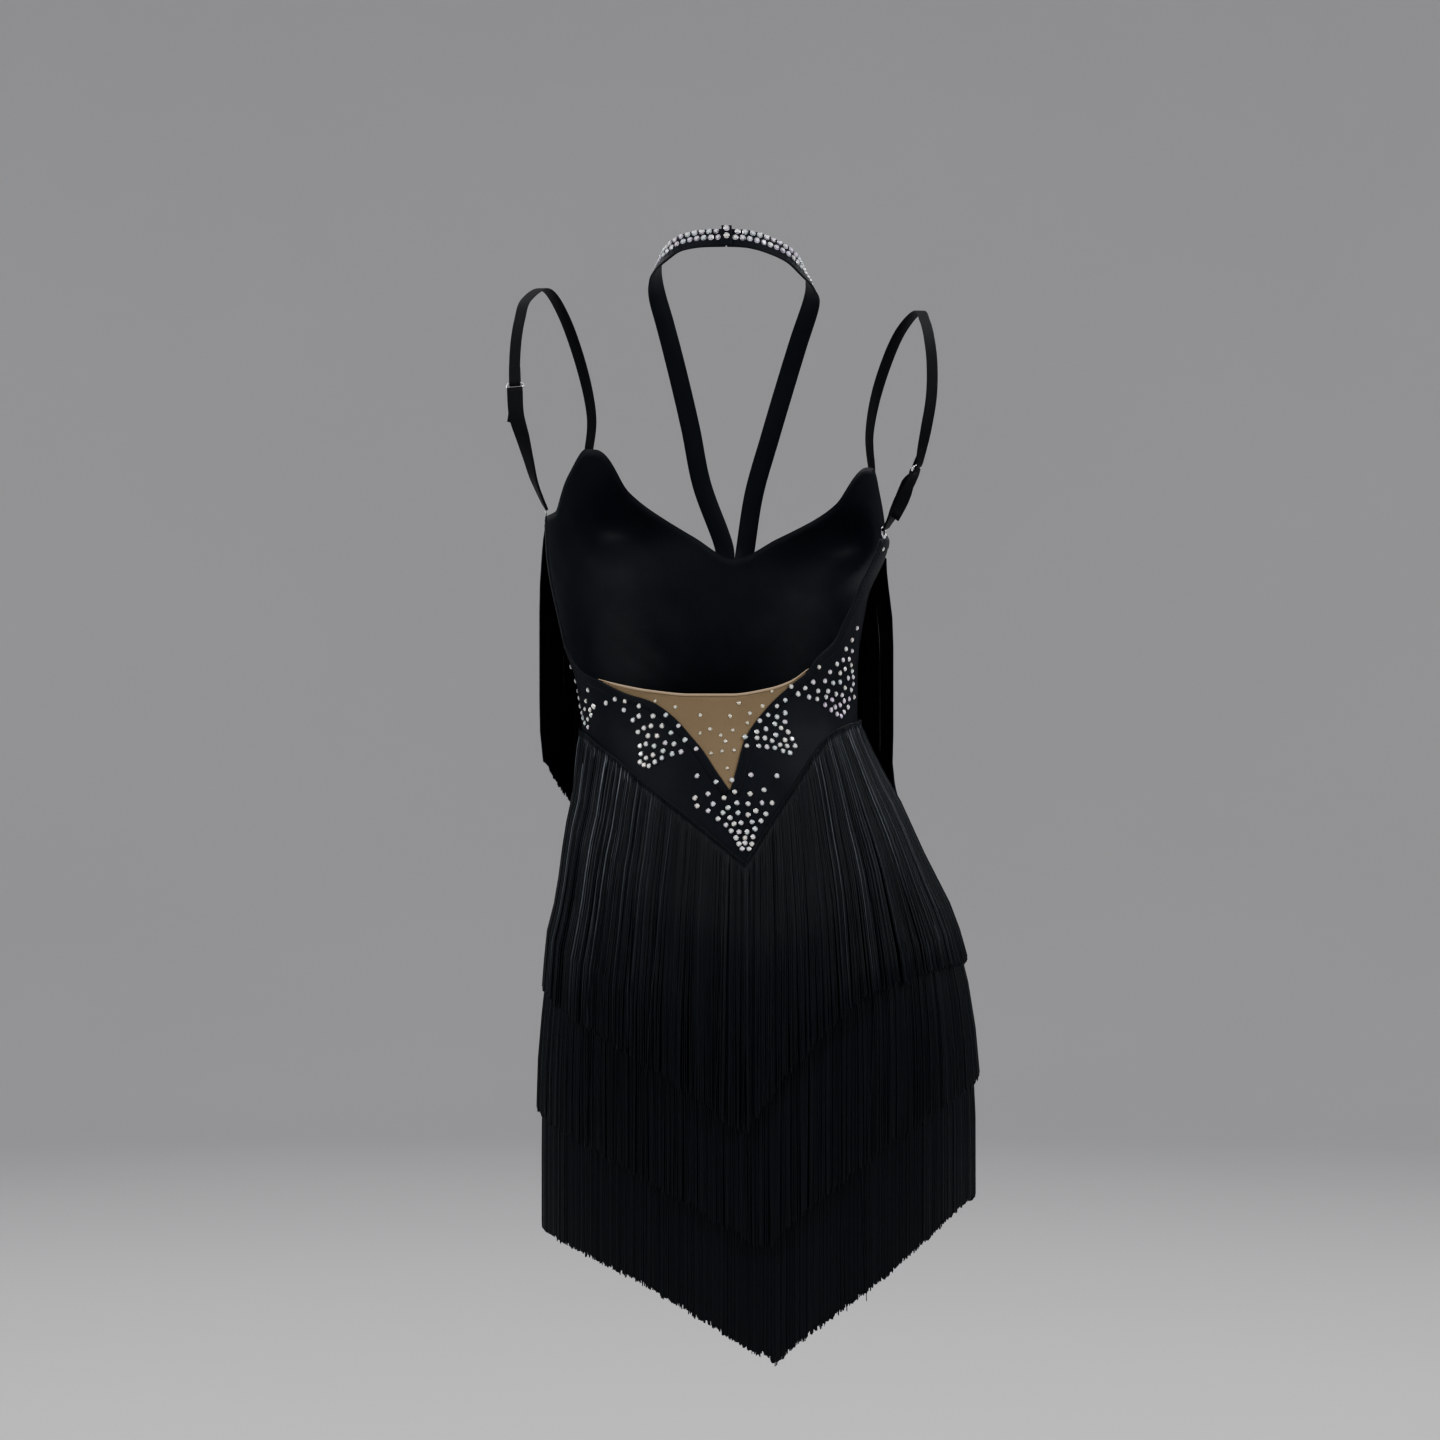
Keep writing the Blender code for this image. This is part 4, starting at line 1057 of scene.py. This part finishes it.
def make_net():
    """The net behind the opening's edge, and the bound edge along its top."""
    top = smooth_through(*zip(*NET_TOP))
    edge = np.concatenate([chain(OPENING_LEFT, 180)[:, :2], chain(OPENING_RIGHT, 180)[1:, :2]])
    edge = edge[(edge[:, 0] > NET_FROM) & (edge[:, 0] < NET_TO)]
    low = edge[:, 1] - NET_TUCK
    high = np.maximum(top(edge[:, 0]), low + NET_TUCK + 0.6)
    share = np.linspace(0, 1, 20)[:, None]
    turn, z = edge[:, 0] + 0 * share, high + (low - high) * share
    outer, inner = skin(turn, z, -NET_DEEP), skin(turn, z, -NET_DEEP - NET_THICK)
    net = wall("net_insert_cloth", outer, inner, NET, np.stack([turn * NET_UV, z], -1) * MM)
    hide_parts("net_insert")
    turns = np.linspace(NET_TOP[0][0], NET_TOP[-1][0], 120)
    z = top(turns) + SEAM_GAP + BINDING_TALL / 2 - BINDING_LOW
    left, right = (ease(np.abs(turns - end) / BINDING_GROWS) for end in (turns[0], turns[-1]))
    full = BINDING_END + (1 - BINDING_END) * left * right
    ring = oval(BINDING_HALF, BINDING_THIN)
    rings = np.stack([skin(turns, z + up * full, lift * full - BINDING_DEEP) for up, lift in ring], 1)
    round_it = np.linspace(0, 8, len(ring))
    binding = make_bar("net_binding_edge", rings, round_it, turns * NET_UV, BINDING, flip=True)
    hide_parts("net_binding")
    return net, binding


# ---- straps, metal and neckband


def wire_ring(node, middle, facing, upright, wide, tall, corner):
    """A closed round wire bent to a rectangle with round corners."""
    facing = unit(np.asarray(facing, float))
    across = unit(np.cross(upright, facing))
    up = np.cross(facing, across)
    spots = []
    for quarter, (side_x, side_y) in enumerate(((1, 1), (-1, 1), (-1, -1), (1, -1))):
        for k in range(9):
            angle = (quarter + k / 9) * math.pi / 2
            x = side_x * (wide / 2 - corner) + corner * math.cos(angle)
            y = side_y * (tall / 2 - corner) + corner * math.sin(angle)
            spots.append(middle + across * x + up * y)
    spots = np.array(spots)
    ahead = unit(np.roll(spots, -1, axis=0) - np.roll(spots, 1, axis=0))
    out = np.broadcast_to(facing, spots.shape)
    side = unit(np.cross(ahead, out))
    wire = swept(f"{node}_wire", spots, side, out, oval(WIRE / 2, WIRE / 2), METAL, looped=True)
    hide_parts(node)


def on_bodice(turn, z, seat, thick):
    return (*skin(turn, z, seat + thick / 2), *away(turn, z))


def wrapped(points, facings, bar, upright, facing, radius, tail):
    """A route that ends by going round a bar and back up behind itself."""
    spots, faces = [], []
    for k in range(1, 9):
        angle = math.pi * k / 8
        spots.append(bar + facing * math.cos(angle) * radius - upright * math.sin(angle) * radius)
        faces.append(facing * math.cos(angle) - upright * math.sin(angle))
    for k in (1, 2, 3):
        spots.append(bar - facing * radius + upright * tail * k / 3)
        faces.append(-facing)
    return np.concatenate([points, spots]), np.concatenate([facings, faces])


def make_strap(side, strap):
    """A shoulder strap with its adjuster and ring, and the doubled loop that joins them."""
    middle, face = np.array(strap.slider[:3], float), unit(np.array(strap.slider[3:], float))
    upright = unit(np.array(strap.stops[-1][:3], float) - np.array(strap.loop[0][:3], float))
    facing = unit(face - upright * (face @ upright))
    top_bar, low_bar = (middle + upright * reach for reach in (SLIDER_TALL / 2, -SLIDER_TALL / 2))

    # The elastic, from the front over the shoulder and round the adjuster's upper bar
    front = [on_bodice(strap.turn, strap.top - down, STRAP_SEAT, STRAP_THICK) for down in STRAP_SEWN]
    wrap = WIRE / 2 + STRAP_THICK / 2 + WIRE_GAP
    last = (*(top_bar + facing * wrap + upright * 1.5), *facing)
    points, facings = smooth_route((*front, *strap.stops, last), 8)
    points, facings = wrapped(points, facings, top_bar, upright, facing, wrap, STRAP_BACK_UP)
    elastic = ribbon(f"strap_{side}_elastic", points, facings, STRAP_WIDE, STRAP_THICK, ELASTIC)
    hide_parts(f"strap_{side}")

    # The adjuster, and the ring, which stands on the back's top edge
    wire_ring(f"slider_{side}", middle, facing, upright, SLIDER_WIDE, SLIDER_TALL, SLIDER_CORNER)
    across = RING_ACROSS / 2
    ring_z = strap.ring_top + across + WIRE / 2 + SEAM_GAP
    ring, ring_face = outer_face(strap.ring_turn, ring_z), away(strap.ring_turn, ring_z)
    up = np.array([0, 0, 1.0])
    wire_ring(f"ring_{side}", ring, ring_face, up, RING_ACROSS, RING_ACROSS, across - 0.01)

    # The loop, folded over the lower bar and drawn in through the ring, with its layer behind
    node = f"strap_loop_{side}"
    wrap = WIRE / 2 + LOOP_THIN / 2 + WIRE_GAP
    end = ring + unit(np.array(strap.loop[-1][:3]) - ring) * (across + 0.3)
    start = (*(low_bar + facing * wrap - upright * 1.0), *facing)
    points, facings = smooth_route((start, *strap.loop, (*end, *strap.ring_entry)), 8)
    fold = [facing * math.cos(angle) + upright * math.sin(angle) for angle in LOOP_FOLD]
    points = np.concatenate([[low_bar + turned * wrap for turned in fold], points])
    facings = np.concatenate([fold, facings])
    gather = 1 - LOOP_GATHER * ease(np.linspace(strap.gather, 1, len(points)))
    outer = ribbon(f"{node}_outer", points, facings, LOOP_WIDE, LOOP_THIN, ELASTIC, gather)
    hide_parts(node)
    behind = points[2:] - facings[2:] * (LOOP_THIN + LAYER_GAP)
    under_wide = LOOP_WIDE * 0.97
    ribbon(f"{node}_under", behind, facings[2:], under_wide, LOOP_THIN, ELASTIC, gather[2:])

    # The elastic's free end, which hangs behind the lower bar
    share = np.linspace(0, 1, 9)[:, None]
    hang = np.array(strap.tail)
    begun = low_bar - facing * (WIRE / 2 + 1.6 * LOOP_THIN)
    tail = begun + hang * [0, 0, 1] * share + hang * [1, 1, 0] * share**1.5
    facings = unit(facing * (1 - share) + np.array([hang[0] * 0.05, -1.0, 0]) * share)
    ribbon(f"{node}_tail", tail, facings, STRAP_WIDE, LOOP_THIN, ELASTIC)


def stones(name, places, chance, tints):
    """Faceted flat-backed stones at (point, outward direction, radius) places."""
    n = STONE_SIDES
    starts = np.array([0, 0, math.pi / n])
    shape = []
    for (reach, high), start in zip(STONE_LEVELS, starts):
        turns = np.arange(n) * 2 * math.pi / n + start
        shape += [(reach * math.cos(a), reach * math.sin(a), high) for a in turns]
    shape = np.array(shape)
    faces = [tuple(range(n - 1, -1, -1)), tuple(range(2 * n, 3 * n))]
    for k in range(n):
        m = (k + 1) % n
        faces.append((k, m, n + m, n + k))
        faces.append((n + k, n + m, 2 * n + k))
        faces.append((n + m, 2 * n + m, 2 * n + k))
    points, all_faces, colours = [], [], []
    for spot, out, radius in places:
        out = unit(np.asarray(out, float) + chance.normal(0, 0.045, 3))
        side = unit(np.cross(out, chance.normal(size=3)))
        turned = np.stack([side, np.cross(out, side), out])
        start = len(points) * len(shape)
        points.append(np.asarray(spot) + shape @ turned * radius * chance.uniform(0.96, 1.04))
        base = tints[chance.integers(len(tints))]
        for number, face in enumerate(faces):
            all_faces.append(tuple(start + v for v in face))
            hue = tints[chance.integers(len(tints))]
            mix = 0.55 * np.array(base) + 0.45 * np.array(hue)
            # Painted light in the colour: the table gets a painted glint and the other facets painted
            # shade
            light = chance.uniform(0.85, 1.0) if number == 1 else chance.uniform(0.04, 0.5)
            colours += [(*(mix * light), 1.0)] * len(face)
    obj = make_piece(name, np.concatenate(points), all_faces, CRYSTAL, smooth=0)
    layer = obj.data.color_attributes.new("tint_and_painted_light", "FLOAT_COLOR", "CORNER")
    layer.data.foreach_set("color", np.array(colours, np.float32).ravel())
    return obj


def make_neckband(chance):
    """The halter band's two sides, each with its rows of stones."""
    for side, stops, way in (("left", NECK_LEFT, 1), ("right", NECK_RIGHT, -1)):
        turn = FRONT_TURN + way * NECK_TURN_OFF
        ends = [on_bodice(turn, z, BAND_SEAT, BAND_THICK) for z in NECK_ENDS]
        points, facings = smooth_route((*stops, *ends), 10)
        band = ribbon(f"neckband_{side}_band", points, facings, BAND_WIDE, BAND_THICK, JERSEY)
        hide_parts(f"neckband_{side}")
        across, out = directions(points, facings)
        gone = distances(points)
        places = []
        for offset, first in BAND_ROWS:
            along = np.arange(first, gone[-1] - BAND_STONES_STOP, BAND_STONE_PITCH)
            faces, ups = (unit(read_off(along, gone, ways)) for ways in (out, across * way))
            spots = read_off(along, gone, points) + ups * offset + faces * BAND_THICK / 2
            places += [(spot, face, BAND_STONE_RADIUS) for spot, face in zip(spots, faces)]
        stones(f"neckband_{side}_stones", places, chance, LILAC)


def make_closure(chance):
    """The closure at the nape: a short tab with two stones."""
    _, y, z, _, face_y, face_z = NECK_LEFT[0]
    face = unit(np.array([0, face_y, face_z]))
    lift = (BAND_THICK + CLOSURE_THICK + 2 * SEAM_GAP) / 2
    middle = np.array([CLOSURE_X, y, z + CLOSURE_UP]) + face * lift
    across = np.array([1.0, 0, 0])
    route = middle + across * np.linspace(CLOSURE_REACH, -CLOSURE_REACH, 9)[:, None]
    facings = np.broadcast_to(face, route.shape)
    tab = ribbon("neck_closure_tab", route, facings, CLOSURE_WIDE, CLOSURE_THICK, JERSEY)
    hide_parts("neck_closure")
    seat = middle + face * CLOSURE_THICK / 2
    up = unit(np.cross(face, across))
    places = [(seat + up * rise, face, CLOSURE_STONE_RADIUS) for rise in CLOSURE_STONES]
    stones("neck_closure_stones", places, chance, RAINBOW)


def make_stones(chance):
    """The stones on the lobes and on the net."""
    made = []
    for name, pixels, lift, radius, tints in (
        ("yoke_stones", YOKE_STONES, 0.0, STONE_RADIUS, RAINBOW),
        ("violet_stones", VIOLET_STONES, 0.0, STONE_RADIUS, VIOLET),
        ("net_stones", NET_STONES, -NET_DEEP, NET_STONE_RADIUS, GOLDEN),
    ):
        spots = [on_back(*pixel) for pixel in pixels]
        places = [(skin(turn, z, lift), away(turn, z), radius) for turn, z in spots]
        made.append(stones(name, places, chance, tints))
    return made


# ---- the dress


def make_dress():
    chance = np.random.default_rng(11)
    fringes = make_fringes()
    back, back_parts = make_back()
    front, front_parts = make_front()
    net, binding = make_net()
    for side, strap in STRAPS.items():
        make_strap(side, strap)
    make_neckband(chance)
    make_closure(chance)
    dark, violet, pale = make_stones(chance)


# ---- stage, light and camera


def make_stage():
    """A round pale floor that curves up into a wall, the same from every side."""
    flat = WALL_AT - WALL_BEND
    profile = [(0.0, FLOOR_Z), (FLOOR_RING, FLOOR_Z), (flat, FLOOR_Z)]
    for k in range(1, BEND_STEPS + 1):
        angle = math.pi / 2 * k / BEND_STEPS
        rise = WALL_BEND * (1 - math.cos(angle))
        profile.append((flat + WALL_BEND * math.sin(angle), FLOOR_Z + rise))
    profile.append((WALL_AT, WALL_TOP))
    turns = 2 * math.pi * np.arange(STUDIO_SIDES) / STUDIO_SIDES
    points = [(r * math.cos(a), r * math.sin(a), z) for r, z in profile for a in turns]
    mesh = bpy.data.meshes.new("studio_sweep")
    mesh.from_pydata(points, [], grid_faces(len(profile), STUDIO_SIDES, turned=True, closed=True))
    mesh.shade_smooth()
    mesh.materials.append(stage_look())
    add_object("studio_sweep", mesh)


def make_lights():
    for name, place, size, power in LAMPS:
        data = bpy.data.lights.new(name, "AREA")
        data.shape, data.size, data.energy = "DISK", size, power
        obj = add_object(name, data)
        obj.location = place
        obj.rotation_euler = (Vector(LAMPS_AIM) - Vector(place)).to_track_quat("-Z", "Y").to_euler()
    world = bpy.data.worlds.new("studio_air")
    world.use_nodes = True
    air = world.node_tree.nodes["Background"].inputs
    air["Color"].default_value, air["Strength"].default_value = AIR_COLOUR, AIR_STRENGTH
    bpy.context.scene.world = world


def make_camera():
    data = bpy.data.cameras.new("eye")
    data.sensor_width = SENSOR
    data.lens = SENSOR * EYE_AWAY / (PICTURE * MM_TO_PX)
    data.clip_end = 50
    obj = add_object("eye", data)
    obj.location = (EYE_X * MM, -EYE_AWAY * MM, EYE_Z * MM)
    obj.rotation_euler = (math.pi / 2, 0, 0)
    bpy.context.scene.camera = obj


make_camera()
make_dress()
make_stage()
make_lights()
